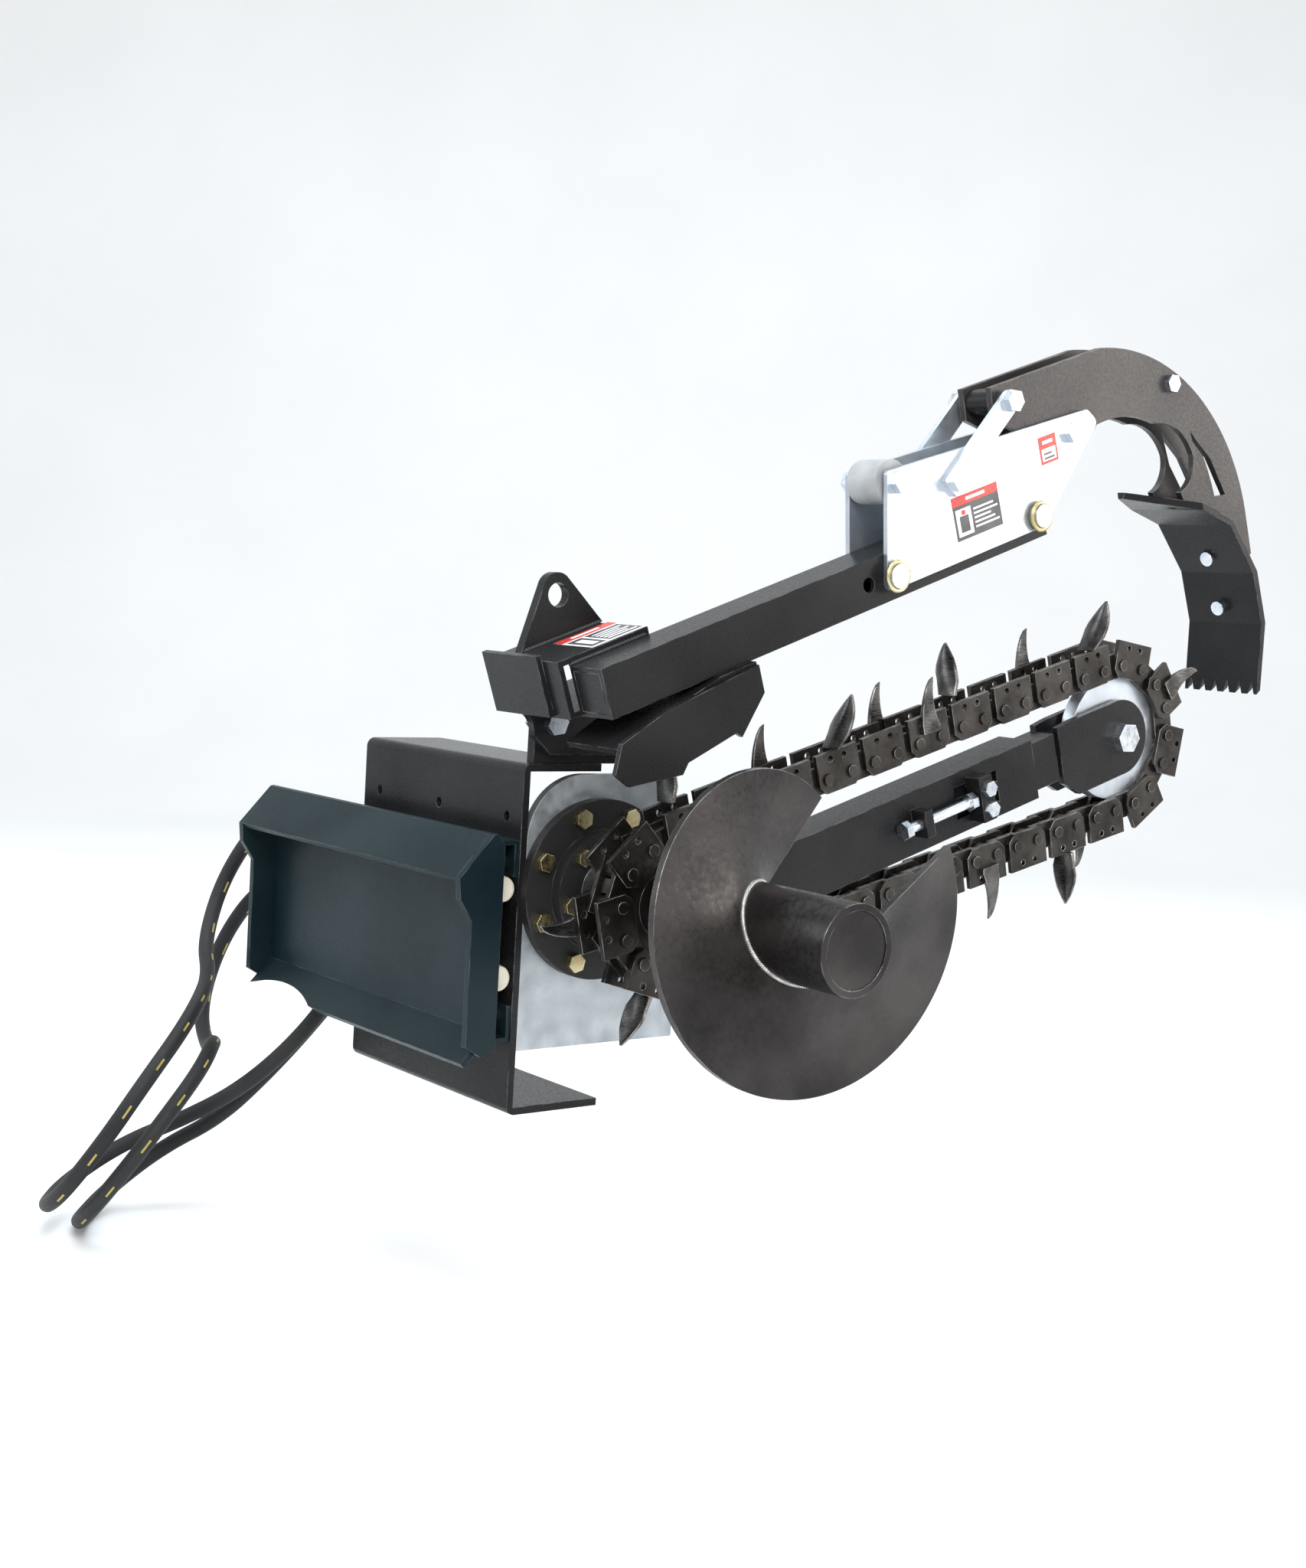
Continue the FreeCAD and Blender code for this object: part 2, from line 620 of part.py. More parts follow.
def cup(side):
    """Pointed cutter that leans forward and out to one side of the chain, in the link frame."""
    def level(z, y, forward, wide, deep):
        points = [(forward - deep, y - wide), (forward + deep, y - wide / 2), (forward + deep, y + wide / 2),
                  (forward - deep, y + wide)]
        return Part.makePolygon([FreeCAD.Vector(px, py, z) for px, py in points + points[:1]])
    reach = side * D.cup_reach * 0.62
    wires = [level(D.link_high / 2 + 14.3, side * 13.5, 0, 11, 6),
             level(D.link_high / 2 + 44, reach * 0.9, 4, 17, 4),
             level(D.cup_high, reach, 12, 6, 2)]
    return Part.makeLoft(wires, True, True)


FIN_LINKS = (2, 10, 15, 16, 22, 28, 34, 40, 46, 52)
CUP_LINKS = (0, 6, 12, 18, 24, 30, 36, 42, 48)


def make_chain(loop):
    outer_y = D.chain_in / 2 + D.link_th + D.play
    inner, outer, pins, rollers, fins, cups = [], [], [], [], [], []
    tooth_at = [FreeCAD.Vector(x, -10, D.link_high / 2 + 6) for x in (-10, 10)]
    tooth_holes = Part.makeCompound([Part.makeCylinder(3.5, 60, at, Y_AXIS) for at in tooth_at])
    for k in range(len(loop.pins)):
        if k % 2:
            for y in (-D.chain_in / 2 - D.link_th, D.chain_in / 2):
                shape = link_plate(D.link_th)
                shape.translate(FreeCAD.Vector(0, y, 0))
                inner.append(set_on_link(shape, loop, k))
        else:
            for y in (-outer_y - D.link_th, outer_y):
                shape = drill(link_plate(D.link_th, 14.0), tooth_holes)
                shape.translate(FreeCAD.Vector(0, y, 0))
                outer.append(set_on_link(shape, loop, k))
        x, z = loop.pins[k]
        length = 2 * (outer_y + D.link_th) + 5
        pin_at = FreeCAD.Vector(x, D.chain_y - length / 2, z)
        pins.append(Part.makeCylinder(D.pin_rad, length, pin_at, Y_AXIS))
        ring_shape = Part.makeCylinder(D.roller_rad, D.chain_in - 2 * D.play,
                                       FreeCAD.Vector(x, D.chain_y - D.chain_in / 2 + D.play, z), Y_AXIS)
        hole = Part.makeCylinder(D.pin_rad + 0.1, 80, FreeCAD.Vector(x, D.chain_y - 40, z), Y_AXIS)
        rollers.append(ring_shape.cut(hole))
    starts = [FreeCAD.Vector(x, D.chain_y - 40, z) for x, z in loop.pins]
    bores = Part.makeCompound([Part.makeCylinder(D.pin_rad + 0.1, 80, at, Y_AXIS) for at in starts])
    for k in FIN_LINKS:
        side = 1 if (k // 2) % 2 else -1
        y = -outer_y - 2 * D.link_th - D.play if side < 0 else outer_y + D.link_th + D.play
        shape = fin(D.link_th)
        shape.translate(FreeCAD.Vector(0, y, 0))
        fins.append(set_on_link(shape, loop, k))
    for k in CUP_LINKS:
        cups.append(set_on_link(cup(1 if (k // 6) % 2 else -1), loop, k))
    group("chain_inner_plates", [drill(s, bores) for s in inner])
    group("chain_outer_plates", [drill(s, bores) for s in outer])
    group("chain_pins", pins)
    group("chain_rollers", rollers)
    group("chain_fins", [drill(s, bores) for s in fins])
    group("chain_cup_cutters", cups)


def drill(shape, bores):
    box = shape.BoundBox
    near = [b for b in bores.Solids if box.isInside(b.CenterOfMass) or
            (b.BoundBox.XMin < box.XMax and b.BoundBox.XMax > box.XMin and
             b.BoundBox.ZMin < box.ZMax and b.BoundBox.ZMax > box.ZMin)]
    return shape.cut(Part.makeCompound(near)) if near else shape


def make_head(loop):
    """Everything that turns with the head shaft: shaft, sprocket and auger."""
    keep(cylinder("shaft", "shaft_rad", "mount_y - tube_start + 90", "head_x", "tube_start - 60", "head_z"),
         "head_shaft")
    rad = loop.small
    blank_at = FreeCAD.Vector(D.head_x, D.chain_y - D.chain_in / 2 + 1, D.head_z)
    blank = Part.makeCylinder(rad + 7, D.chain_in - 2, blank_at, Y_AXIS)
    first = loop.pins[0]
    phase = math.atan2(first[1] - D.head_z, first[0] - D.head_x)
    for k in range(int(D.teeth)):
        angle = phase + 2 * math.pi * k / D.teeth
        for out, wider in ((0, 0.6), (5, 1.8), (12, 3.4)):
            x = D.head_x + (rad + out) * math.cos(angle)
            z = D.head_z + (rad + out) * math.sin(angle)
            at = FreeCAD.Vector(x, D.chain_y - 30, z)
            blank = blank.cut(Part.makeCylinder(D.roller_rad + wider, 60, at, Y_AXIS))
    bore_at = FreeCAD.Vector(D.head_x, D.chain_y - 40, D.head_z)
    bore = Part.makeCylinder(D.shaft_rad + 0.05, 80, bore_at, Y_AXIS)
    hub_at = FreeCAD.Vector(D.head_x, D.chain_y - 26, D.head_z)
    hub = Part.makeCylinder(D.shaft_rad + 13, 54, hub_at, Y_AXIS)
    keep_shape("drive_sprocket", blank.fuse(hub).cut(bore).removeSplitter())
    make_auger()


def make_auger():
    tube = cylinder("auger_out", "tube_rad", "tube_start - tube_end", "head_x", "tube_end", "head_z")
    hole = cylinder("auger_in", "tube_rad - tube_wall", "1000", "head_x", "tube_end - 200", "head_z")
    keep(cut("auger_tube_cut", tube, hole), "auger_tube")
    cap = cylinder("auger_cap_disc", "tube_rad - tube_wall - 0.2", "12", "head_x", "tube_end + 1", "head_z")
    keep(cap, "auger_end_cap")
    hub_rad = "tube_rad - tube_wall - 0.2"
    hub = cylinder("auger_hub_disc", hub_rad, "12", "head_x", "tube_start - 13", "head_z")
    hole = cylinder("auger_hub_hole", "shaft_rad", "80", "head_x", "tube_start - 40", "head_z")
    keep(cut("auger_hub_cut", hub, hole), "auger_hub_plate")
    keep_shape("auger_flight", flight_shape())


def flight_shape():
    """One right-hand turn of screw flight, from the chain side to the open end."""
    turns = 0.955
    helix = Part.makeHelix(D.flight_pitch, D.flight_pitch * turns, D.tube_rad + 60)
    inner = D.tube_rad + 0.3
    points = [(inner, 0), (D.flight_rad, 0), (D.flight_rad, D.flight_th), (inner, D.flight_th)]
    corners = [FreeCAD.Vector(x, 0, z) for x, z in points + points[:1]]
    shape = Part.Wire(helix.Edges).makePipeShell([Part.makePolygon(corners)], True, True)
    solid = shape if shape.ShapeType == "Solid" else Part.Solid(shape)
    solid.rotate(FreeCAD.Vector(), X_AXIS, 90)
    solid.rotate(FreeCAD.Vector(), Y_AXIS, -53)
    solid.translate(FreeCAD.Vector(D.head_x, D.flight_start, D.head_z))
    return solid


# ---------------------------------------------------------------- boom and chain tensioner

def boom_box(name, start, end, wide, high, wall=None):
    """Square tube along the boom, laid level from the boom's start and tilted after."""
    outer = block(name + "_out", end + " - " + start, wide, high, "head_x + " + start,
                  "chain_y - " + wide + "/2", "head_z - boom_drop - " + high + "/2")
    pieces = [outer]
    if wall:
        inside = block(name + "_in", "2000", wide + " - 2*" + wall, high + " - 2*" + wall, "head_x - 500",
                       "chain_y - " + wide + "/2 + " + wall, "head_z - boom_drop - " + high + "/2 + " + wall)
        pieces.append(inside)
    return pieces


def boom_bar(name, u, w, radius, length, y):
    """Round bar across the boom at (u, w) in the boom's frame."""
    x, z = boom_point(u, w)
    return cylinder(name, radius, length, x, y, z)


def tilt_boom(*objects):
    tilted(objects, "boom_rise", "head_x", "head_z")


def make_boom(loop):
    slots = []
    for side in (-1, 1):
        slots.append(block("slot_%d" % side, "take_up + 52", "boom_wide + 40", "13",
                           "head_x + clamp_u - take_up - 12", "chain_y - boom_wide/2 - 20",
                           D.head_z - D.boom_drop + side * D.clamp_w - 6.5))
    outer, inside = boom_box("boom_tube", "boom_start", "boom_end", "boom_wide", "boom_high", "boom_wall")
    tilt_boom(outer, inside, *slots)
    tube = cut("boom_tube_cut", outer, inside, *slots)
    inner_wide = D.boom_wide - 2 * D.boom_wall - 2 * D.slide_gap
    inner_high = D.boom_high - 2 * D.boom_wall - 2 * D.slide_gap
    slide = block("slide_bar", "slide_end - slide_start", "boom_wide - 2*boom_wall - 2*slide_gap",
                  "boom_high - 2*boom_wall - 2*slide_gap", "head_x + slide_start",
                  D.chain_y - inner_wide / 2, D.head_z - D.boom_drop - inner_high / 2)
    neck = block("slide_neck", "neck_end - slide_end", "27", "46", "head_x + slide_end",
                 "chain_y - 13.5", "head_z - boom_drop - 23")
    tilt_boom(slide, neck)
    holes = [boom_bar("clamp_hole_%d" % side, "clamp_u", side * D.clamp_w, "5.1", "100", "chain_y - 50")
             for side in (-1, 1)]
    keep(cut("slide_cut", fuse("slide_whole", slide, neck), *holes), "boom_slide_bar")
    keep_group("boom_tube", tube, make_tensioner())
    make_yoke(loop)
    make_boom_mount()


def make_tensioner():
    """Screw that pushes the sliding bar out. Its fixed stop is handed back to be welded to the boom."""
    side_y = "chain_y - boom_wide/2"
    stop = block("stop_block", "12", "22", "30", "head_x + stop_u", side_y + " - 22",
                 "head_z - boom_drop - 15")
    push = block("push_block", "20", "22", "52", "head_x + push_u + 22", side_y + " - 22.3",
                 "head_z - boom_drop - 26")
    tilt_boom(stop, push)
    way = FreeCAD.Vector(math.cos(math.radians(D.boom_rise)), 0, math.sin(math.radians(D.boom_rise)))
    screw_y = D.chain_y - D.boom_wide / 2 - 11
    x, z = boom_point(D.stop_u - 26, 0)
    hole = cylinder("screw_hole", "screw_rad + run_gap", "80", x, screw_y, z, way)
    drilled_stop = cut("stop_cut", stop, hole)
    clamp_holes = [boom_bar("push_hole_%d" % side, "clamp_u", side * D.clamp_w, "5.1", "100", "chain_y - 80")
                   for side in (-1, 1)]
    keep(cut("push_cut", push, *clamp_holes), "tension_block")
    rod = moved(Part.makeCylinder(D.screw_rad, D.push_u + 22 - D.stop_u + 26 - 0.3), x, screw_y, z, way)
    nuts = [moved(hexagon(18, 9), *[boom_point(u, 0)[0], screw_y, boom_point(u, 0)[1]], way)
            for u in (D.stop_u - 26, D.push_u + 11)]
    keep_shape("tension_screw", rod.fuse(nuts[0]).fuse(nuts[1]).removeSplitter())
    bolts = []
    for side in (-1, 1):
        x, z = boom_point(D.clamp_u, side * D.clamp_w)
        grip = D.boom_wide + 23.3
        shape = Part.makeCylinder(5, grip + 14, FreeCAD.Vector(0, 0, 0), -Z_AXIS).fuse(hexagon(16, 8))
        shape = shape.fuse(hexagon(16, 9, -grip - 9.3)).removeSplitter()
        bolts.append(moved(shape, x, D.chain_y - D.boom_wide / 2 - 22.3, z, -Y_AXIS, D.boom_rise))
    group("boom_clamp_bolts", bolts)
    return drilled_stop


def make_yoke(loop):
    start = D.slide_end + 4
    sides = []
    neck = 13.5
    left = D.chain_y + neck + D.yoke_th
    for label, y in (("yoke_plate_right", D.chain_y - neck), ("yoke_plate_left", left)):
        axle_u = loop.along
        axle_w = -D.idler_drop
        rad = D.yoke_rad
        corners = [(start, -34), (start + 24, axle_w - rad), (axle_u, axle_w - rad),
                   (axle_u, axle_w + rad, axle_u + rad, axle_w), (start + 24, axle_w + rad), (start, 34)]
        body = plate(label, "XZ_Plane", corners, "yoke_th", holes=[(axle_u, axle_w, "axle_rad")])
        base_x, base_z = boom_point(0, 0)
        sides.append(place(body, base_x, y, base_z, Y_AXIS, "0 - boom_rise"))
    keep_group("nose_yoke_plates", *sides)
    x, z = loop.nose
    half = 13.5 + D.yoke_th
    axle = Part.makeCylinder(D.axle_rad, 2 * half + 14, FreeCAD.Vector(x, D.chain_y - half, z), Y_AXIS)
    head = moved(hexagon(32, 13), x, D.chain_y - half, z, -Y_AXIS)
    nut = moved(hexagon(32, 13), x, D.chain_y + half, z, Y_AXIS)
    keep_shape("nose_axle_bolt", axle.fuse(head).fuse(nut).removeSplitter())
    wheel = cylinder("wheel_rim", "idler_rad", "chain_in - 2", x, "chain_y - chain_in/2 + 1", z)
    bore = cylinder("wheel_bore", "axle_rad + 12", "60", x, "chain_y - 30", z)
    keep(cut("wheel_cut", wheel, bore), "nose_wheel")
    race = cylinder("nose_race", "axle_rad + 12", "24", x, "chain_y - 12", z)
    hole = cylinder("nose_race_hole", "axle_rad + run_gap", "60", x, "chain_y - 30", z)
    keep(cut("nose_race_cut", race, hole), "nose_wheel_bearing")


def make_boom_mount():
    """Plate that carries the boom tube from the drive head's upright plate."""
    arm = block("boom_arm", "54", "mount_y - chain_y - boom_wide/2", "12", "head_x + boom_start + 4",
                "chain_y + boom_wide/2", "head_z - boom_drop + 14")
    rib = block("boom_rib", "12", "mount_y - chain_y - boom_wide/2", "60", "head_x + boom_start + 10",
                "chain_y + boom_wide/2", "head_z - boom_drop - 46")
    tilt_boom(arm, rib)
    trim = block("boom_trim", "600", "600", "900", "0 - 100", "mount_y", "0 - 100")
    keep(cut("boom_arm_cut", fuse("boom_arm_whole", arm, rib), trim), "boom_bracket")


# ---------------------------------------------------------------- upper beam and what it carries

def beam_block(name, length, width, height, u, y, w):
    obj = block(name, length, width, height, "beam_x + " + str(u), y, "beam_z + " + str(w))
    tilted([obj], "beam_rise", "beam_x", "beam_z")
    return obj


def beam_bar(name, u, w, radius, y_from, y_to):
    x, z = beam_point(u, w)
    return cylinder(name, radius, value(y_to) - value(y_from), x, y_from, z)


def beam_plate(label, corners, thickness, y_back, **extras):
    body = plate(label, "XZ_Plane", corners, thickness, **extras)
    place(body, "beam_x", y_back, "beam_z", Y_AXIS, "0 - beam_rise")
    return body


def make_beam():
    half = "beam_size/2"
    outer = beam_block("beam_out", "beam_len", "beam_size", "beam_size", 0, "chain_y - " + half, 0)
    inside = beam_block("beam_in", "3000", "beam_size - 2*beam_wall", "beam_size - 2*beam_wall", -500,
                        "chain_y - " + half + " + beam_wall", "beam_wall")
    holes = []
    for k in range(9):
        u = D.lock_first + k * D.lock_pitch
        holes.append(beam_bar("lock_hole_%d" % k, u, half, "lock_hole_rad", D.chain_y - 60, D.chain_y + 60))
    keep(cut("beam_cut", outer, inside, *holes), "upper_beam")
    cap_y = D.chain_y - D.beam_size / 2 + D.beam_wall + 0.3
    cap_size = D.beam_size - 2 * D.beam_wall - 0.6
    keep(beam_block("beam_plug", 5, cap_size, cap_size, 0, cap_y, D.beam_wall + 0.3), "beam_end_plug")


def make_support():
    """Box that joins the beam to the head frame, with the lifting lug on top."""
    far_y = 25.0
    start_y = "chain_y + beam_size/2"
    length = far_y - value(start_y)
    out = beam_block("support_out", 116, length, 60, -13, start_y, 0)
    inside = beam_block("support_in", 104, length + 100, 48, -7, D.chain_y, 6)
    rear = beam_plate("support_rear_plate", [(-19, 2), (-13, 2), (-13, 66), (-19, 66)], 96, 34)
    keep_group("support_box", cut("support_cut", out, inside), rear)
    lug_corners = [(2, 60), (108, 60), (78, 118), (48, 118, 63, 126)]
    lug = beam_plate("lifting_lug", lug_corners, 12, 6, holes=[("62", "103", "12.5")])
    keep(lug, "lifting_lug")
    make_head_bracket()


def make_head_bracket():
    """Bolted saddle plates between the support box and the top flange."""
    top = "web_high"
    rise = math.tan(math.radians(D.beam_rise))

    def under_box(x):
        """Height just below the support box's underside at x."""
        return D.beam_z + (x - D.beam_x) * rise - 0.1

    saddle = [(26, D.web_high + 10), (158, D.web_high + 10), (162, D.web_high + 40), (110, under_box(110)),
              (-8, under_box(-8)), (4, D.web_high + 30, 2, D.web_high + 42)]
    holes = [(28, 411, "bolt_rad + 0.2"), (132, 393, "bolt_rad + 0.2")]
    body = plate("bracket_saddle", "XZ_Plane", saddle, 10, holes=holes)
    keep(place(body, 0, 2, 0), "support_saddle")
    ear = [(12, top), (148, top), (148, D.web_high + 38), (12, D.web_high + 56)]
    body = plate("frame_ear", "XZ_Plane", ear, 12, holes=holes)
    keep(place(body, 0, 14.2, 0), "frame_ear")
    bolts = [moved(bolt(D.bolt_rad, 22.2), x, -8, z, -Y_AXIS, 10) for x, z in ((28, 411), (132, 393))]
    group("frame_bolts", bolts + make_rails())


def make_bracket():
    half_beam = D.beam_size / 2 + D.bracket_gap
    corners = [(378, 12), (636, 12), (746, 103), (732, 121), (410, 136)]
    rounds = [(732, 121, 8), (746, 103, 8), (410, 136, 5), (378, 12, 8), (636, 12, 8)]
    holes = [(393, "beam_size/2", "lock_hole_rad"), (624, "beam_size/2", "lock_hole_rad"),
             ("pivot_u", "pivot_w", "bolt_rad + run_gap"), ("brace_low_u", "brace_low_w", "bolt_rad"),
             ("tie_u", "tie_w", "bolt_rad")]
    for label, y in (("crumber_bracket_right", D.chain_y - half_beam),
                     ("crumber_bracket_left", D.chain_y + half_beam + D.bracket_th)):
        keep(beam_plate(label, corners, "bracket_th", y, holes=holes, rounds=rounds), label)
    outer = half_beam + D.bracket_th
    turn = math.degrees(math.atan2(D.brace_top_w - D.brace_low_w, D.brace_top_u - D.brace_low_u))
    span = math.hypot(D.brace_top_w - D.brace_low_w, D.brace_top_u - D.brace_low_u)
    wide = 12.5
    bar = [(-wide, -wide), (span, -wide), (span, wide, span + wide, 0), (-wide, wide)]
    base_x, base_z = beam_point(D.brace_low_u, D.brace_low_w)
    bars = []
    right = D.chain_y - outer
    left = D.chain_y + outer + 6
    for label, y in (("crumber_brace_right", right), ("crumber_brace_left", left)):
        body = plate(label, "XZ_Plane", bar, 6, holes=[(0, 0, "bolt_rad"), (span, 0, "bolt_rad")])
        bars.append(place(body, base_x, y, base_z, Y_AXIS, -turn - D.beam_rise))
    keep_group("crumber_braces", *bars)
    make_bracket_bolts(outer)


def cross_bolt(radius, half, u, w):
    """Hex bolt and nut right across the bracket at (u, w)."""
    x, z = beam_point(u, w)
    return moved(bolt(radius, 2 * half), x, D.chain_y - half, z, -Y_AXIS, 15)


def make_bracket_bolts(outer):
    x, z = beam_point(D.brace_low_u, D.brace_low_w)
    bolts = [cross_bolt(D.bolt_rad, outer, D.tie_u, D.tie_w)]
    pivot = beam_point(D.pivot_u, D.pivot_w)
    bolts.append(moved(bolt(D.bolt_rad, 2 * outer), pivot[0], D.chain_y - outer, pivot[1], -Y_AXIS, 15))
    low = moved(bolt(D.bolt_rad, 2 * outer + 12), x, D.chain_y - outer - 6, z, -Y_AXIS, 15)
    studs = []
    top_x, top_z = beam_point(D.brace_top_u, D.brace_top_w)
    reach = outer + 6 - D.beam_size / 2 - 0.5
    for side in (-1, 1):
        axis = FreeCAD.Vector(0, -side, 0)
        stud = Part.makeCylinder(D.bolt_rad, reach).fuse(hexagon(22, 8, -8))
        studs.append(moved(stud.removeSplitter(), top_x, D.chain_y + side * (outer + 6), top_z, axis))
    group("bracket_bolts", bolts + [low] + studs)
    tie = beam_point(D.tie_u, D.tie_w)
    spacer = Part.makeCylinder(24, 44, FreeCAD.Vector(tie[0], D.chain_y - 22, tie[1]), Y_AXIS)
    hole = Part.makeCylinder(D.bolt_rad + 0.08, 80, FreeCAD.Vector(tie[0], D.chain_y - 40, tie[1]), Y_AXIS)
    keep_shape("bracket_roller", spacer.cut(hole))
    for label, u in (("lock_pin_rear", 393), ("lock_pin_front", 624)):
        x, z = beam_point(u, D.beam_size / 2)
        length = 2 * outer + 10
        pin_at = FreeCAD.Vector(x, D.chain_y - outer, z)
        pin = Part.makeCylinder(D.lock_hole_rad - 0.08, length, pin_at, Y_AXIS)
        head = Part.makeCylinder(13, 9, FreeCAD.Vector(x, D.chain_y - outer - 9.3, z), Y_AXIS)
        loop_ring = Part.makeTorus(14.7, 1.8, FreeCAD.Vector(x, D.chain_y - outer - 5, z), Y_AXIS)
        inside = Part.makeCylinder(13.05, 30, FreeCAD.Vector(x, D.chain_y - outer - 20, z), Y_AXIS)
        grip = loop_ring.cut(inside)
        group(label, [pin.fuse(head).removeSplitter(), grip])


def make_crumber():
    half = D.beam_size / 2 - D.arm_gap
    corners = [(591, 181), (778, 181), (995, -83, 937, 86), (995, -128), (964, -141), (932, -67),
               (884, -32.5), (880, -18), (912, 20, 906, -2), (854, 73, 893, 54), (752, 98, 804, 94),
               (724, 78), (690, 78), (588, 146)]
    window = [(913, 48), (942, 8), (962, -44), (938, -40), (918, 6)]
    holes = [("pivot_u", "pivot_w", "bolt_rad + run_gap"), ("brace_top_u", "brace_top_w", 9), (889, 112, 6)]
    right = D.chain_y - half + D.arm_th
    left = D.chain_y + half
    for label, y in (("crumber_arm_right", right), ("crumber_arm_left", left)):
        keep(beam_plate(label, corners, "arm_th", y, holes=holes, windows=[window]), label)
    inner = half - D.arm_th
    x, z = beam_point(889, 112)
    cross = moved(bolt(6, 2 * half), x, D.chain_y - half, z, -Y_AXIS)
    pipe = Part.makeCylinder(11, 2 * inner, FreeCAD.Vector(x, D.chain_y - inner, z), Y_AXIS)
    cross_piece = cross.fuse(pipe).removeSplitter()
    x, z = beam_point(D.brace_top_u, D.brace_top_w)
    bush = Part.makeCylinder(15, 2 * inner, FreeCAD.Vector(x, D.chain_y - inner, z), Y_AXIS)
    bush = bush.fuse(Part.makeCylinder(9, 2 * half, FreeCAD.Vector(x, D.chain_y - half, z), Y_AXIS))
    keep_shape("crumber_bush", bush.removeSplitter())
    x, z = beam_point(D.pivot_u, D.pivot_w)
    pipe = Part.makeCylinder(13, 2 * inner, FreeCAD.Vector(x, D.chain_y - inner, z), Y_AXIS)
    hole = Part.makeCylinder(D.bolt_rad + D.run_gap, 80, FreeCAD.Vector(x, D.chain_y - 40, z), Y_AXIS)
    group("crumber_cross_tubes", [cross_piece, pipe.cut(hole)])
    make_shoe()


def make_shoe():
    front = [(801, -4), (880, -40), (926, -72), (956, -142), (958, -208), (930, -290)]
    back = [(938, -287), (966, -208), (964, -141), (932, -67), (884, -32.5), (804, 3)]
    body = beam_plate("crumber_shoe_sheet", front + back, "shoe_w", "chain_y + shoe_w/2")
    doc.recompute()
    cuts = []
    for k in range(6):
        y = D.chain_y - D.shoe_w / 2 + (k + 0.5) * D.shoe_w / 6
        notch = Part.makePolygon([FreeCAD.Vector(0, y, -276), FreeCAD.Vector(0, y - 8, -300),
                                  FreeCAD.Vector(0, y + 8, -300), FreeCAD.Vector(0, y, -276)])
        cuts.append(Part.Face(notch).extrude(FreeCAD.Vector(1200, 0, 0)))
    for side in (-1, 1):
        edge = D.chain_y + side * (D.shoe_w / 2 + 1)
        corner = Part.makePolygon([FreeCAD.Vector(882, edge, -100), FreeCAD.Vector(798, edge, -100),
                                   FreeCAD.Vector(798, D.chain_y + side * 1.5, -100),
                                   FreeCAD.Vector(882, edge, -100)])
        cuts.append(Part.Face(corner).extrude(FreeCAD.Vector(0, 0, 200)))
    holes = []
    for u, w in ((949, -120), (956, -186)):
        holes.append(Part.makeCylinder(6, 60, FreeCAD.Vector(u - 30, D.chain_y, w), X_AXIS))
    holes.append(Part.makeCylinder(6, 60, FreeCAD.Vector(868, D.chain_y - 20, -60), Z_AXIS))
    tool = doc.addObject("Part::Feature", "shoe_cuts")
    tool.Shape = Part.makeCompound(cuts + holes)
    place(tool, "beam_x", 0, "beam_z", Y_AXIS, "0 - beam_rise")
    keep(cut("crumber_shoe_cut", body, tool), "crumber_shoe")
    screws = []
    for u, w in ((949, -120), (956, -186)):
        x, z = beam_point(u - 6, w)
        shape = Part.makeCylinder(5.9, 26).fuse(Part.makeCylinder(9, 3.5, FreeCAD.Vector(0, 0, -3.5)))
        way = FreeCAD.Vector(math.cos(math.radians(D.beam_rise)), 0, math.sin(math.radians(D.beam_rise)))
        screws.append(moved(shape.removeSplitter(), x, D.chain_y, z, way))
    group("crumber_shoe_bolts", screws)


def make_guards():
    """Bent guard plates over the chain, hung from the beam."""
    profile = [(0, 372), (18, 360), (84, 372), (90, 384), (150, 414), (158, 410), (184, 456), (174, 484),
               (60, 436), (6, 402)]
    y_right = D.chain_y - 34
    body = plate("chain_guard_right", "XZ_Plane", profile, 6)
    keep(place(body, 0, y_right, 0), "chain_guard_right")
    rise = math.tan(math.radians(D.beam_rise))
    seat = [(x, D.beam_z + (x - D.beam_x) * rise - 0.1) for x in (130, 175)]
    top = [(8, 396), (60, 430.5)] + seat
    top += [(177, seat[1][1] - 6), (132, seat[0][1] - 6.5), (62, 424.5), (12, 391)]
    body = plate("chain_guard_top", "XZ_Plane", top, 90)
    keep(place(body, 0, D.chain_y + 56, 0), "chain_guard_top")


# ---------------------------------------------------------------- hoses

def cord_tube(points, radius):
    """Tube of straight runs joined by tangent arcs."""
    nodes = [FreeCAD.Vector(*p) for p in points]
    edges = []
    radii = []
    last = nodes[0]
    for i in range(1, len(nodes) - 1):
        before = nodes[i - 1].sub(nodes[i])
        after = nodes[i + 1].sub(nodes[i])
        turn = math.pi - before.getAngle(after)
        reach = 0.45 * min(before.Length, after.Length)
        radii.append(reach / math.tan(turn / 2))
        entry = nodes[i] + before.normalize() * reach
        leave = nodes[i] + after.normalize() * reach
        bisector = (before + after).normalize()
        rad = radii[-1]
        middle = nodes[i] + bisector * (math.hypot(rad, reach) - rad)
        edges.append(Part.LineSegment(last, entry).toShape())
        edges.append(Part.Arc(entry, middle, leave).toShape())
        last = leave
    edges.append(Part.LineSegment(last, nodes[-1]).toShape())
    path = Part.Wire(edges)
    circle = Part.Circle(nodes[0], nodes[1].sub(nodes[0]), radius)
    solid = path.makePipeShell([Part.Wire(circle.toShape())], True, False)
    if solid.ShapeType != "Solid":
        solid = Part.Solid(solid)
    print("hose length %.0f, arcs" % path.Length, [round(r) for r in radii])
    ratio = abs(solid.Volume) / (math.pi * radius ** 2 * path.Length)
    print("tube volume over section times length: %.4f" % ratio)
    return solid


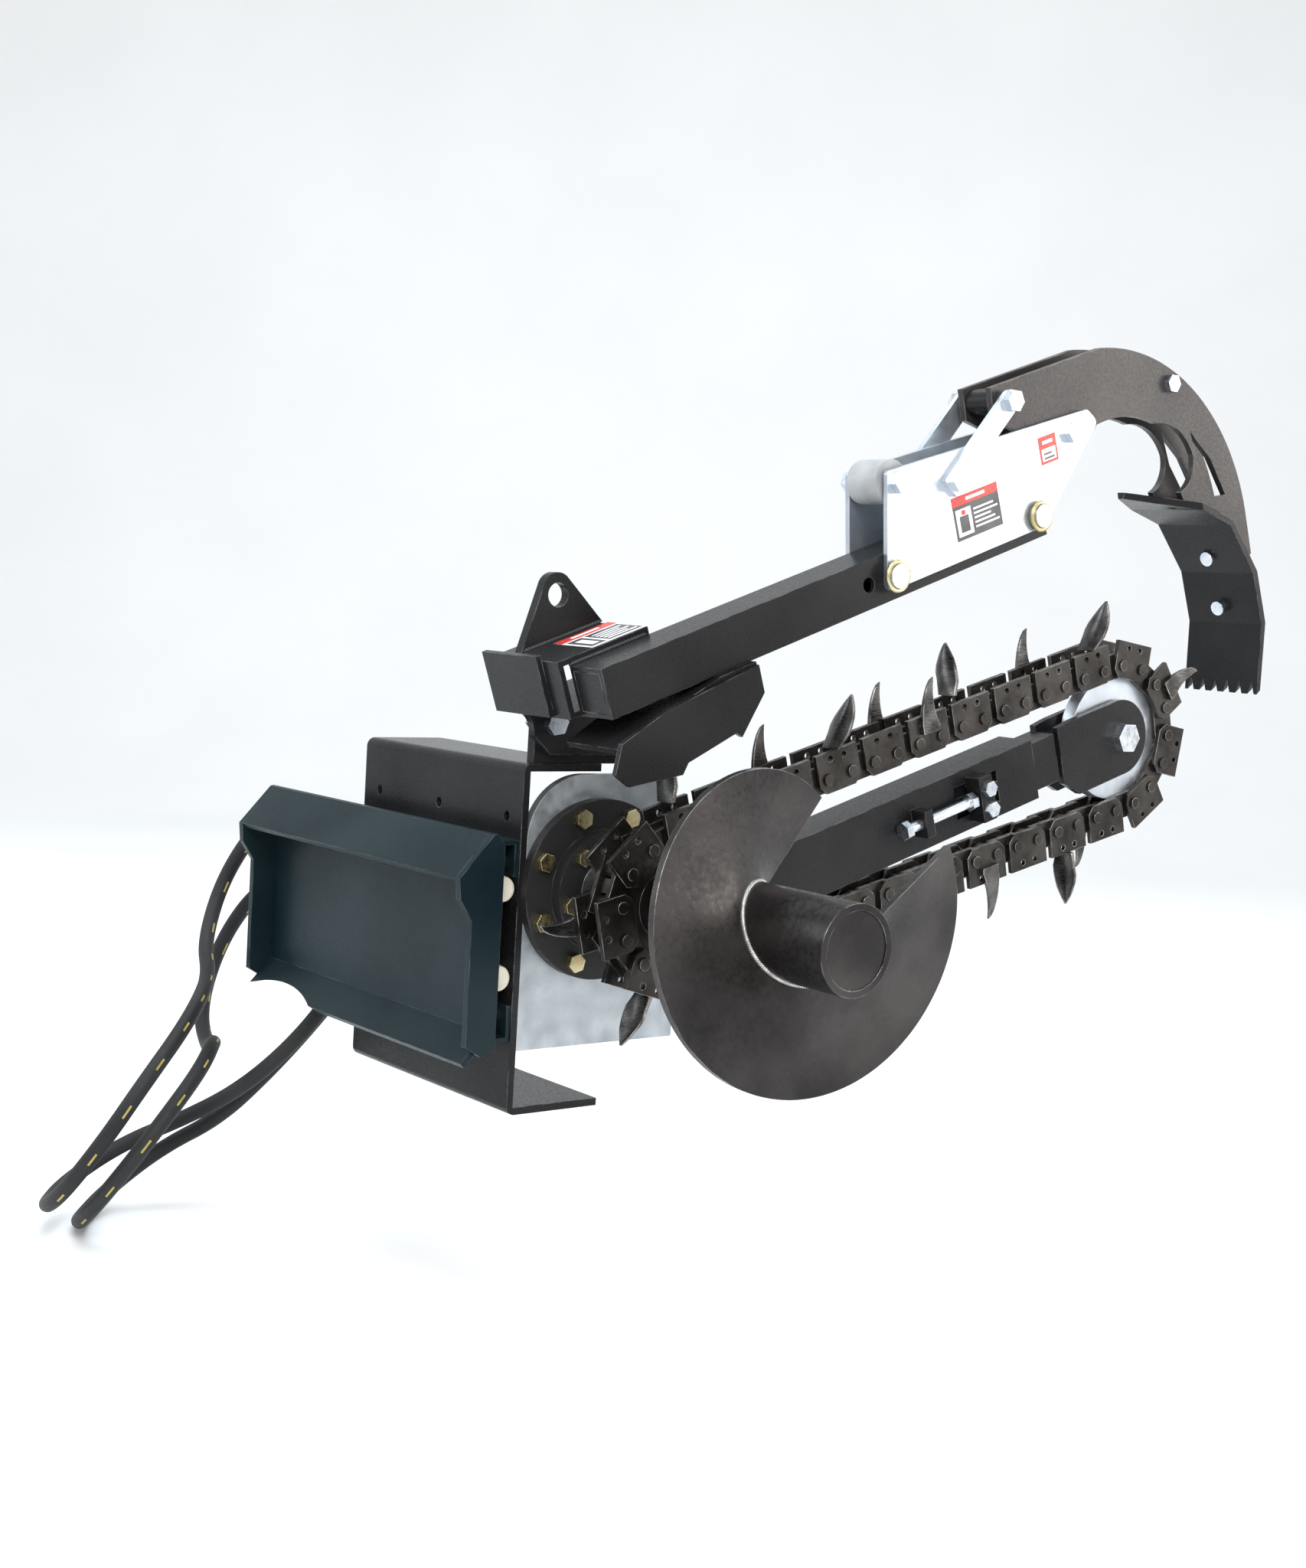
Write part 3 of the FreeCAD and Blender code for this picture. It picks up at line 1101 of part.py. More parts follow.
HOSE_UPPER = [
    (74, 197, 258), (74, 277, 258), (69, 338, 201), (47, 373, 132), (14, 386, 60), (-32, 401, -3),
    (-86, 425, -57), (-130, 478, -99), (-187, 525, -135), (-260, 514, -169), (-312, 452, -177),
    (-322, 379, -143), (-293, 338, -77), (-251, 327, -10), (-194, 363, 33), (-143, 420, 59),
    (-103, 484, 71), (-74, 558, 97), (-39, 586, 167), (-13, 551, 238), (-10, 473, 268), (-15, 393, 243),
    (-15, 312, 240), (-15, 232, 237), (-15, 152, 236), (-15, 80, 237),
]
HOSE_LOWER = [
    (122, 197, 258), (122, 276, 258), (119, 344, 206), (92, 390, 146), (53, 410, 80), (7, 424, 16),
    (-44, 439, -44), (-91, 466, -100), (-139, 516, -142), (-208, 513, -184), (-267, 460, -201),
    (-291, 387, -175), (-274, 334, -116), (-226, 324, -51), (-168, 361, -10), (-122, 423, 8),
    (-91, 499, -28), (-65, 584, 6), (-26, 608, 89), (-2, 554, 164), (-8, 457, 179), (-15, 392, 142),
    (-15, 313, 139), (-15, 233, 138), (-15, 152, 139), (-15, 80, 142),
]


def make_hoses():
    for label, points in (("hose_upper", HOSE_UPPER), ("hose_lower", HOSE_LOWER)):
        keep_shape(label, cord_tube(points, D.hose_rad))
        end = points[-1]
        before = points[-2]
        way = FreeCAD.Vector(*end).sub(FreeCAD.Vector(*before)).normalize()
        ferrule = Part.makeCylinder(D.hose_rad + 3, 24, FreeCAD.Vector(*end), way)
        nut_at = FreeCAD.Vector(*end) + way * 24
        nut = moved(hexagon(24, 16), nut_at.x, nut_at.y, nut_at.z, way)
        cap_at = FreeCAD.Vector(*end) + way * 40
        cap = Part.makeCylinder(D.cap_rad, D.cap_len, cap_at, way)
        group(label + "_end", [ferrule.fuse(nut).removeSplitter(), cap])


# ---------------------------------------------------------------- build and write

def check(objects):
    for obj in objects:
        if "Invalid" in obj.State or "Error" in obj.State:
            raise RuntimeError("%s failed: %s" % (obj.Label, obj.State))
    for obj in NODES:
        if obj.Shape.isNull() or not obj.Shape.isValid():
            raise RuntimeError(obj.Label + ": bad shape")


def main():
    loop = Loop()
    print("chain closes within %.3f mm, shaft to nose %.1f mm" % (loop.closing, loop.span))
    make_frame()
    make_mount_plate()
    group("drive_head_bolts", make_bearing_housing() + make_motor())
    make_coupler()
    make_chain(loop)
    make_head(loop)
    make_boom(loop)
    make_beam()
    make_support()
    make_bracket()
    make_crumber()
    make_guards()
    make_hoses()
    doc.recompute()
    check(doc.Objects)
    os.makedirs("parts", exist_ok=True)
    for obj in NODES:
        obj.Shape.exportStep("parts/%s.step" % obj.Label)
    print(len(NODES), "sub-parts")


main()
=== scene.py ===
import math

import bmesh
import bpy
from mathutils import Matrix, Vector


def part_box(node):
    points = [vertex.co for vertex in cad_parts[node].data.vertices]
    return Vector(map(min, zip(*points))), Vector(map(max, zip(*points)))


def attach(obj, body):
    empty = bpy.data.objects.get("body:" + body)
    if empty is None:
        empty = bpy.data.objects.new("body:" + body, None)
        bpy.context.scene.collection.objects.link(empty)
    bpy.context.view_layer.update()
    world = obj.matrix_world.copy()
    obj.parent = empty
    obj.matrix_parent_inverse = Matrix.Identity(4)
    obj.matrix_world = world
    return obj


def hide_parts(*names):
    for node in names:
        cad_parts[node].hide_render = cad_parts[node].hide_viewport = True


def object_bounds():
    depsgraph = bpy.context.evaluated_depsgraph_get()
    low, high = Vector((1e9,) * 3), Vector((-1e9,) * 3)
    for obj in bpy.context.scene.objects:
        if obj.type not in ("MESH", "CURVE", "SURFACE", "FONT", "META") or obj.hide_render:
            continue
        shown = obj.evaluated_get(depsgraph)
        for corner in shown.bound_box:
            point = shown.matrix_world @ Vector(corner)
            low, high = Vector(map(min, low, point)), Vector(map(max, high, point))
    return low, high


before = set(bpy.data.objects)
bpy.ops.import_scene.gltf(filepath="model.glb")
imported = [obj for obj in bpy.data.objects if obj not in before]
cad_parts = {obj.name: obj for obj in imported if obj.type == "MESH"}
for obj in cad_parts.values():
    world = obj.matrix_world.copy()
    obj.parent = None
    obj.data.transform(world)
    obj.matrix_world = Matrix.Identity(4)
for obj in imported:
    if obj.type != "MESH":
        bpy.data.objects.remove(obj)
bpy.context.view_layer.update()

# Everything is in metres in the part's own frame: +X forward along the boom, +Y left, +Z up.
FRAME_CORNER = Vector((0.042, -0.226, -0.297))    # foot corner of the head frame
BEAM_RISE = math.radians(20.0)
ALONG_BEAM = Vector((math.cos(BEAM_RISE), 0, math.sin(BEAM_RISE)))
UP_BEAM = Vector((-math.sin(BEAM_RISE), 0, math.cos(BEAM_RISE)))
BEAM_START = FRAME_CORNER + Vector((0.003, 0, 0.4245))
HOSE_WIDTH = 0.018


def centre(node):
    low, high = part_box(node)
    return (Vector(low) + Vector(high)) / 2


def on_beam(u, w, y):
    """A place given along and above the upper beam's lower rear edge."""
    at = BEAM_START + ALONG_BEAM * u + UP_BEAM * w
    return Vector((at.x, y, at.z))


# ---------------------------------------------------------------- materials

def link(tree, a, out, b, into):
    tree.links.new(a.outputs[out], b.inputs[into])


def ramp_between(tree, source, out, low, high, first, second):
    node = tree.nodes.new("ShaderNodeMapRange")
    link(tree, source, out, node, "Value")
    for word, number in (("From Min", low), ("From Max", high), ("To Min", first), ("To Max", second)):
        node.inputs[word].default_value = number
    return node


def noise(tree, place, scale, detail=4.0, stretch=None):
    node = tree.nodes.new("ShaderNodeTexNoise")
    node.inputs["Scale"].default_value = scale
    node.inputs["Detail"].default_value = detail
    if stretch:
        lay = tree.nodes.new("ShaderNodeMapping")
        lay.inputs["Scale"].default_value = stretch
        link(tree, place, "Object", lay, "Vector")
        link(tree, lay, "Vector", node, "Vector")
    else:
        link(tree, place, "Object", node, "Vector")
    return node


def blend_colour(tree, factor, out, first, second):
    """Mix two colours, or mix a colour into the result of an earlier mix."""
    node = tree.nodes.new("ShaderNodeMix")
    node.data_type = "RGBA"
    link(tree, factor, out, node, "Factor")
    for socket, colour in ((6, first), (7, second)):
        if isinstance(colour, tuple):
            node.inputs[socket].default_value = (*colour, 1)
        else:
            tree.links.new(colour.outputs[2], node.inputs[socket])
    return node


def edge_mask(tree, bevel, place):
    """1 on worn edges, broken up by noise."""
    face = tree.nodes.new("ShaderNodeNewGeometry")
    dot = tree.nodes.new("ShaderNodeVectorMath")
    dot.operation = "DOT_PRODUCT"
    link(tree, bevel, "Normal", dot, 0)
    link(tree, face, "Normal", dot, 1)
    edge = ramp_between(tree, dot, "Value", 0.80, 0.985, 1.0, 0.0)
    patches = noise(tree, place, 38.0, 5.0)
    rubbed = ramp_between(tree, patches, "Fac", 0.42, 0.60, 0.0, 1.0)
    both = tree.nodes.new("ShaderNodeMath")
    both.operation = "MULTIPLY"
    link(tree, edge, "Result", both, 0)
    link(tree, rubbed, "Result", both, 1)
    return both


def dust_mask(tree, place, amount):
    """Dust lies on faces that look up, in soft patches."""
    face = tree.nodes.new("ShaderNodeNewGeometry")
    split = tree.nodes.new("ShaderNodeSeparateXYZ")
    link(tree, face, "Normal", split, "Vector")
    up = ramp_between(tree, split, "Z", 0.1, 0.95, 0.25, 1.0)
    patches = noise(tree, place, 9.0, 6.0)
    soft = ramp_between(tree, patches, "Fac", 0.38, 0.72, 0.0, amount)
    both = tree.nodes.new("ShaderNodeMath")
    both.operation = "MULTIPLY"
    link(tree, up, "Result", both, 0)
    link(tree, soft, "Result", both, 1)
    return both


def material(name, first, second, rough, metal=0.0, patch=7.0, grain=220.0, relief=0.05, edge=0.0012,
             worn=None, dust=None, stretch=None, coat=0.0, shine=0.5):
    """Two-tone surface with its own grain, soft edges, and wear or dust where they are asked for."""
    made = bpy.data.materials.new(name)
    made.use_nodes = True
    tree = made.node_tree
    shader = tree.nodes["Principled BSDF"]
    shader.inputs["Metallic"].default_value = metal
    shader.inputs["Coat Weight"].default_value = coat
    shader.inputs["Specular IOR Level"].default_value = shine
    shader.inputs["Coat Roughness"].default_value = 0.25
    place = tree.nodes.new("ShaderNodeTexCoord")
    bevel = tree.nodes.new("ShaderNodeBevel")
    bevel.samples = 4
    bevel.inputs["Radius"].default_value = edge
    patches = noise(tree, place, patch, 5.0)
    shade = ramp_between(tree, patches, "Fac", 0.35, 0.65, 0.0, 1.0)
    colour = blend_colour(tree, shade, "Result", first, second)
    if dust:
        colour = blend_colour(tree, dust_mask(tree, place, dust[1]), "Value", colour, dust[0])
    if worn:
        colour = blend_colour(tree, edge_mask(tree, bevel, place), "Value", colour, worn)
    tree.links.new(colour.outputs[2], shader.inputs["Base Color"])
    fine = noise(tree, place, grain, 6.0, stretch)
    gloss = ramp_between(tree, fine, "Fac", 0.3, 0.7, rough[0], rough[1])
    link(tree, gloss, "Result", shader, "Roughness")
    bump = tree.nodes.new("ShaderNodeBump")
    bump.inputs["Strength"].default_value = relief
    bump.inputs["Distance"].default_value = 0.001
    link(tree, fine, "Fac", bump, "Height")
    link(tree, bevel, "Normal", bump, "Normal")
    link(tree, bump, "Normal", shader, "Normal")
    return made


DUST = (0.15, 0.14, 0.125)
BARE = (0.30, 0.29, 0.28)
PAINT = material("black_satin_paint", (0.008, 0.008, 0.009), (0.016, 0.016, 0.017), (0.22, 0.38),
                 relief=0.10, grain=420.0, worn=BARE, dust=(DUST, 0.03), coat=0.02, shine=0.16)
# Coupler plate, side plates and hose rails: dark satin paint tinted teal. The teal in its base and worn-edge
# colours is partly painted sky reflection on the dark paint.
PLATE_PAINT_WITH_SKY_TINT = material("coupler_paint_with_painted_sky_tint", (0.005, 0.013, 0.017), (0.010, 0.021, 0.026), (0.28, 0.44),
                       relief=0.12, grain=380.0, worn=(0.14, 0.19, 0.21), dust=(DUST, 0.03), coat=0.02,
                       shine=0.14)
ARM_PAINT = material("worn_arm_paint", (0.024, 0.021, 0.021), (0.046, 0.041, 0.040), (0.28, 0.46), metal=0.25,
                     relief=0.16, grain=300.0, worn=(0.42, 0.40, 0.38), dust=(DUST, 0.10), coat=0.05,
                     shine=0.3)
CAST = material("cast_black", (0.014, 0.014, 0.015), (0.028, 0.027, 0.027), (0.38, 0.60), relief=0.45,
                grain=260.0, worn=(0.18, 0.18, 0.18), dust=(DUST, 0.10), shine=0.25)
ZINC = material("white_zinc_plate", (0.52, 0.56, 0.62), (0.70, 0.73, 0.77), (0.20, 0.42), metal=1.0,
                patch=30.0, grain=150.0, relief=0.08, dust=((0.38, 0.38, 0.38), 0.2))
BRIGHT = material("bright_zinc_sheet", (0.48, 0.53, 0.59), (0.66, 0.70, 0.74), (0.28, 0.46), metal=0.85,
                  patch=14.0, grain=120.0, relief=0.08, worn=(0.80, 0.82, 0.84),
                  dust=((0.40, 0.40, 0.39), 0.2))
GALVANISED = material("galvanised_plate", (0.34, 0.37, 0.40), (0.50, 0.54, 0.57), (0.36, 0.58), metal=0.75,
                      patch=45.0, grain=90.0, relief=0.12, dust=((0.36, 0.36, 0.34), 0.3))
GOLD_ZINC = material("yellow_zinc_plate", (0.52, 0.42, 0.20), (0.72, 0.64, 0.42), (0.22, 0.42), metal=1.0,
                     patch=60.0, grain=200.0, relief=0.06)
CHAIN = material("rubbed_chain_steel", (0.020, 0.018, 0.017), (0.060, 0.055, 0.051), (0.26, 0.50), metal=0.85,
                 patch=26.0, grain=160.0, relief=0.25, worn=(0.55, 0.54, 0.52),
                 dust=((0.13, 0.11, 0.085), 0.3))
CUTTER = material("rubbed_cutter_steel", (0.045, 0.042, 0.040), (0.15, 0.145, 0.14), (0.20, 0.42), metal=0.95,
                  patch=34.0, grain=140.0, relief=0.2, stretch=(1, 1, 5), edge=0.002,
                  worn=(0.78, 0.78, 0.77))
AUGER = material("satin_auger_steel", (0.024, 0.022, 0.022), (0.060, 0.055, 0.054), (0.22, 0.42), metal=0.8,
                 patch=10.0, grain=170.0, relief=0.14, worn=(0.46, 0.45, 0.44),
                 dust=((0.14, 0.12, 0.10), 0.2))
WELD = material("weld_bead_steel", (0.30, 0.29, 0.28), (0.52, 0.51, 0.50), (0.22, 0.46), metal=0.9,
                patch=90.0, grain=300.0, relief=0.2)
BLACK_WELD = material("painted_weld_bead", (0.014, 0.015, 0.016), (0.026, 0.027, 0.028), (0.25, 0.4),
                      patch=60.0, grain=300.0, relief=0.2, shine=0.35)
RUBBER = material("hose_rubber_black", (0.012, 0.012, 0.013), (0.024, 0.024, 0.025), (0.45, 0.68), relief=0.3,
                  grain=600.0, dust=(DUST, 0.08), shine=0.22)
LAYLINE = material("hose_line_yellow", (0.30, 0.24, 0.05), (0.42, 0.34, 0.09), (0.45, 0.65), patch=120.0)
CREAM = material("cap_cream_plastic", (0.66, 0.62, 0.50), (0.78, 0.74, 0.62), (0.38, 0.55), relief=0.12,
                 patch=24.0, dust=((0.40, 0.36, 0.28), 0.25))
GREY_ROLLER = material("roller_grey_plastic", (0.30, 0.31, 0.32), (0.40, 0.41, 0.42), (0.42, 0.6), patch=30.0)
RED = material("label_red", (0.52, 0.03, 0.025), (0.62, 0.05, 0.035), (0.3, 0.45), patch=50.0, edge=0.0002)
LABEL_GREY = material("label_charcoal", (0.05, 0.05, 0.055), (0.08, 0.08, 0.085), (0.3, 0.45), patch=50.0,
                      edge=0.0002)
LABEL_WHITE = material("label_white", (0.72, 0.72, 0.72), (0.82, 0.82, 0.82), (0.3, 0.45), patch=50.0,
                       edge=0.0002)

NODE_MATERIALS = {
    PLATE_PAINT_WITH_SKY_TINT: "coupler_plate coupler_side_plates hose_rails",
    PAINT: "head_frame support_box lifting_lug support_saddle frame_ear upper_beam beam_end_plug boom_tube "
           "boom_bracket chain_guard_right chain_guard_top boom_slide_bar nose_yoke_plates tension_block "
           "crumber_shoe crumber_bush",
    ARM_PAINT: "crumber_arm_right crumber_arm_left",
    CAST: "bearing_housing motor_body motor_gerotor_ring motor_end_cover",
    BRIGHT: "crumber_bracket_right crumber_bracket_left crumber_braces nose_wheel",
    ZINC: "bracket_bolts lock_pin_rear lock_pin_front boom_clamp_bolts nose_axle_bolt tension_screw "
          "frame_bolts crumber_cross_tubes crumber_shoe_bolts motor_port_fittings head_bearing "
          "nose_wheel_bearing",
    GALVANISED: "mount_plate",
    GOLD_ZINC: "drive_head_bolts",
    GREY_ROLLER: "bracket_roller",
    CHAIN: "chain_inner_plates chain_outer_plates chain_pins chain_rollers drive_sprocket head_shaft",
    CUTTER: "chain_fins chain_cup_cutters",
    AUGER: "auger_tube auger_end_cap auger_hub_plate auger_flight",
}
for surface, names in NODE_MATERIALS.items():
    for name in names.split():
        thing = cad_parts[name]
        thing.data.materials.clear()
        thing.data.materials.append(surface)


# ---------------------------------------------------------------- mesh helpers

def new_piece(name, mesh, body, slot, *surfaces, smooth=True):
    """A finished piece that rides on a body."""
    thing = bpy.data.objects.new(name, mesh)
    bpy.context.scene.collection.objects.link(thing)
    for surface in surfaces:
        mesh.materials.append(surface)
    if smooth:
        for face in mesh.polygons:
            face.use_smooth = True
    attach(thing, body)
    return thing


def mesh_from(name, work):
    bmesh.ops.recalc_face_normals(work, faces=work.faces)
    mesh = bpy.data.meshes.new(name)
    work.to_mesh(mesh)
    work.free()
    return mesh


def tube_mesh(name, path, radius_at, sides=14, strip=None):
    """Tube round a path, closed at both ends. radius_at(i) gives the radius at each point.
    strip(i) says whether the narrow strip of the tube is marked at that step."""
    work = bmesh.new()
    rings = []
    normal = Vector((0, 0, 1))
    for i, at in enumerate(path):
        way = (path[min(i + 1, len(path) - 1)] - path[max(i - 1, 0)]).normalized()
        if abs(way.dot(normal)) > 0.98:
            normal = Vector((1, 0, 0))
        normal = (normal - way * way.dot(normal)).normalized()
        side = way.cross(normal)
        ring = []
        for k in range(sides):
            turn = 2 * math.pi * k / sides
            ring.append(work.verts.new(at + (normal * math.cos(turn) + side * math.sin(turn)) * radius_at(i)))
        rings.append(ring)
    for i in range(len(rings) - 1):
        for k in range(sides):
            quad = (rings[i][k], rings[i][(k + 1) % sides], rings[i + 1][(k + 1) % sides], rings[i + 1][k])
            face = work.faces.new(quad)
            if strip and k == strip[1] and strip[0](i):
                face.material_index = 1
    work.faces.new(rings[0][::-1])
    work.faces.new(rings[-1])
    return mesh_from(name, work)


def even_path(corners, step):
    """Points about a step apart along straight runs between corners."""
    out = [corners[0]]
    for a, b in zip(corners[:-1], corners[1:]):
        count = max(1, round((b - a).length / step))
        out += [a.lerp(b, k / count) for k in range(1, count + 1)]
    return out


def weld(name, corners, size, body, surface=BLACK_WELD, closed_path=None):
    """Rippled weld bead along a path."""
    path = closed_path or even_path([Vector(c) for c in corners], 0.0012)

    def swell(i):
        end = min(i, len(path) - 1 - i)
        return size * (0.86 + 0.14 * math.cos(i * 1.9)) * min(1.0, 0.35 + end / 4)
    slot = "black_paint" if surface is BLACK_WELD else "auger_steel"
    return new_piece(name, tube_mesh(name, path, swell, 8), body, slot, surface)


def lathe_mesh(name, start, axis, profile, sides=48):
    """Turned piece: profile is (distance along the axis, radius), closed at both ends."""
    work = bmesh.new()
    axis = axis.normalized()
    normal = axis.orthogonal().normalized()
    side = axis.cross(normal)
    rings = []
    for along, radius in profile:
        ring = []
        for k in range(sides):
            turn = 2 * math.pi * k / sides
            out = normal * math.cos(turn) + side * math.sin(turn)
            ring.append(work.verts.new(start + axis * along + out * radius))
        rings.append(ring)
    for a, b in zip(rings[:-1], rings[1:]):
        for k in range(sides):
            work.faces.new((a[k], a[(k + 1) % sides], b[(k + 1) % sides], b[k]))
    work.faces.new(rings[0][::-1])
    work.faces.new(rings[-1])
    return mesh_from(name, work)


def sharpen(thing, angle=35.0):
    """Smooth faces with crisp edges where the turn is sharp."""
    with bpy.context.temp_override(object=thing, active_object=thing, selected_objects=[thing],
                                   selected_editable_objects=[thing]):
        bpy.ops.object.shade_smooth_by_angle(angle=math.radians(angle))
    return thing


# ---------------------------------------------------------------- hoses

HOSE_UPPER = [
    (0.074, 0.197, 0.258), (0.074, 0.277, 0.258), (0.069, 0.338, 0.201), (0.047, 0.373, 0.132),
    (0.014, 0.386, 0.060), (-0.032, 0.401, -0.003), (-0.086, 0.425, -0.057), (-0.130, 0.478, -0.099),
    (-0.187, 0.525, -0.135), (-0.260, 0.514, -0.169), (-0.312, 0.452, -0.177), (-0.322, 0.379, -0.143),
    (-0.293, 0.338, -0.077), (-0.251, 0.327, -0.010), (-0.194, 0.363, 0.033), (-0.143, 0.420, 0.059),
    (-0.103, 0.484, 0.071), (-0.074, 0.558, 0.097), (-0.039, 0.586, 0.167), (-0.013, 0.551, 0.238),
    (-0.010, 0.473, 0.268), (-0.015, 0.393, 0.243), (-0.015, 0.312, 0.240), (-0.015, 0.232, 0.237),
    (-0.015, 0.152, 0.236), (-0.015, 0.080, 0.237),
]
HOSE_LOWER = [
    (0.122, 0.197, 0.258), (0.122, 0.276, 0.258), (0.119, 0.344, 0.206), (0.092, 0.390, 0.146),
    (0.053, 0.410, 0.080), (0.007, 0.424, 0.016), (-0.044, 0.439, -0.044), (-0.091, 0.466, -0.100),
    (-0.139, 0.516, -0.142), (-0.208, 0.513, -0.184), (-0.267, 0.460, -0.201), (-0.291, 0.387, -0.175),
    (-0.274, 0.334, -0.116), (-0.226, 0.324, -0.051), (-0.168, 0.361, -0.010), (-0.122, 0.423, 0.008),
    (-0.091, 0.499, -0.028), (-0.065, 0.584, 0.006), (-0.026, 0.608, 0.089), (-0.002, 0.554, 0.164),
    (-0.008, 0.457, 0.179), (-0.015, 0.392, 0.142), (-0.015, 0.313, 0.139), (-0.015, 0.233, 0.138),
    (-0.015, 0.152, 0.139), (-0.015, 0.080, 0.142),
]


def smooth_route(name, points):
    """The hose's line: a NURBS spline with the route's points as its control points."""
    curve = bpy.data.curves.new(name, "CURVE")
    curve.dimensions = "3D"
    spline = curve.splines.new("NURBS")
    spline.points.add(len(points) - 1)
    for knot, point in zip(spline.points, points):
        knot.co = (*(FRAME_CORNER + Vector(point)), 1)
    spline.order_u = 3
    spline.use_endpoint_u = True
    spline.resolution_u = 20
    thing = bpy.data.objects.new(name, curve)
    bpy.context.scene.collection.objects.link(thing)
    mesh = bpy.data.meshes.new_from_object(thing)
    path = [v.co.copy() for v in mesh.vertices]
    bpy.data.objects.remove(thing)
    bpy.data.curves.remove(curve)
    bpy.data.meshes.remove(mesh)
    return path


def make_hose(node, points):
    path = smooth_route(node + "_route", points)
    steps = even_path(path, 0.004)

    def dashed(i):
        return i % 16 < 4
    mesh = tube_mesh(node + "_tube", steps, lambda i: HOSE_WIDTH / 2, 24, strip=(dashed, 5))
    hose = new_piece(node + "_tube", mesh, "root", "hose_rubber", RUBBER, LAYLINE)
    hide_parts(node)
    ends = make_hose_end(node, path)


def make_hose_end(node, path):
    """Crimped ferrule, coupler body and ribbed dust cap at the parked end."""
    way = (path[-1] - path[-2]).normalized()
    ribs = [(0.0, 0.0095), (0.001, 0.0115)]
    for k in range(4):
        ribs += [(0.003 + 0.005 * k, 0.0118), (0.0045 + 0.005 * k, 0.0108), (0.006 + 0.005 * k, 0.0118)]
    ribs += [(0.0235, 0.0118), (0.024, 0.0105)]
    ferrule_mesh = lathe_mesh("ferrule", path[-1], way, ribs)
    ferrule = new_piece(node + "_ferrule", ferrule_mesh, "root", "white_zinc", ZINC)
    body = [(0.0, 0.0095), (0.001, 0.0112), (0.006, 0.0112), (0.007, 0.0125), (0.014, 0.0125),
            (0.0155, 0.0112), (0.016, 0.0105)]
    coupler_mesh = lathe_mesh("coupler", path[-1] + way * 0.0242, way, body, 6)
    coupler = new_piece(node + "_coupler", coupler_mesh, "root", "white_zinc", ZINC, smooth=False)
    shell = [(0.0, 0.0115), (0.0012, 0.0132)]
    for k in range(5):
        at = 0.004 + 0.0055 * k
        shell += [(at, 0.0132), (at + 0.0008, 0.0139), (at + 0.0028, 0.0139), (at + 0.0036, 0.0132)]
    shell += [(0.0345, 0.0134), (0.0362, 0.0124), (0.0368, 0.0100), (0.0360, 0.0080)]
    cap_mesh = lathe_mesh("cap", path[-1] + way * 0.0403, way, shell)
    cap = new_piece(node + "_dust_cap", cap_mesh, "root", "cap_plastic", CREAM)
    for piece in (ferrule, coupler, cap):
        sharpen(piece)
        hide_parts(node + "_end")
    return [ferrule, coupler, cap]


make_hose("hose_upper", HOSE_UPPER)
make_hose("hose_lower", HOSE_LOWER)


# ---------------------------------------------------------------- welds

def make_welds():
    side_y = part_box("upper_beam")[1][1]
    size = 0.003
    for word, w in (("low", 0.001), ("high", 0.053)):
        weld("weld_support_" + word, [on_beam(0, w, side_y), on_beam(0.1, w, side_y)], size, "root")
    lug_low, lug_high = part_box("lifting_lug")
    for word, y in (("right", lug_low[1]), ("left", lug_high[1])):
        weld("weld_lug_" + word, [on_beam(0.004, 0.0605, y), on_beam(0.106, 0.0605, y)], size, "root")
    plate_low, plate_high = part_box("coupler_plate")
    crest = Vector((plate_high[0], 0, plate_high[2]))
    weld("weld_coupler_crest", [(crest.x - 0.004, plate_low[1] + 0.02, crest.z - 0.0055),
                                (crest.x - 0.004, plate_high[1] - 0.02, crest.z - 0.0055)], 0.0022, "root")
    head = centre("auger_tube")
    tube_low, tube_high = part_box("auger_tube")
    radius = (tube_high[0] - tube_low[0]) / 2
    flight_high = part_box("auger_flight")[1]
    steps = 420
    for word, shift in (("rear", 0.0), ("front", 0.008)):
        path = []
        for k in range(steps + 1):
            turn = math.radians(53) + 2 * math.pi * 0.955 * k / steps
            y = flight_high[1] - 0.008 - 0.156 * 0.955 * k / steps + shift
            path.append(Vector((head.x + radius * math.cos(turn), y, head.z + radius * math.sin(turn))))
        weld("weld_flight_" + word, None, 0.0034, "drive_head", WELD, closed_path=path)


make_welds()


# ---------------------------------------------------------------- cutters on the digging chain

# Outlines are in millimetres along or across the link, against the share of the cutter's height.
HEAD = centre("head_shaft") * Vector((1, 0, 1))
NOSE = centre("nose_wheel") * Vector((1, 0, 1))
FIN_OUTLINE = [(-13, 0), (12, 0), (12.5, 0.10), (9.5, 0.25), (7.5, 0.42), (7.2, 0.58), (8, 0.74), (9.5, 0.88),
               (11.5, 1.0), (6, 0.96), (1, 0.87), (-3.5, 0.74), (-7.5, 0.58), (-10.5, 0.40), (-12.7, 0.20)]
CUP_WIDTHS = [(0, 12.5), (0.10, 13.5), (0.25, 15.5), (0.40, 16), (0.54, 14.5), (0.68, 11.5), (0.80, 8),
              (0.90, 4.6), (0.97, 2), (1.0, 1)]


def loose_parts(node):
    """Corner positions of every separate solid in a node."""
    work = bmesh.new()
    work.from_mesh(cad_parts[node].data)
    work.transform(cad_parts[node].matrix_world)
    bmesh.ops.remove_doubles(work, verts=work.verts[:], dist=0.00002)
    left = set(work.verts)
    found = []
    while left:
        stack = [left.pop()]
        part = [stack[0].co.copy()]
        while stack:
            for edge in stack.pop().link_edges:
                for corner in edge.verts:
                    if corner in left:
                        left.remove(corner)
                        stack.append(corner)
                        part.append(corner.co.copy())
        found.append(part)
    work.free()
    return found


def out_of_loop(part):
    """The way that leads straight out of the chain's loop at a solid."""
    middle = sum(part, Vector()) / len(part)
    middle.y = 0
    run = NOSE - HEAD
    share = min(max((middle - HEAD).dot(run) / run.length_squared, 0), 1)
    return (middle - HEAD - run * share).normalized()


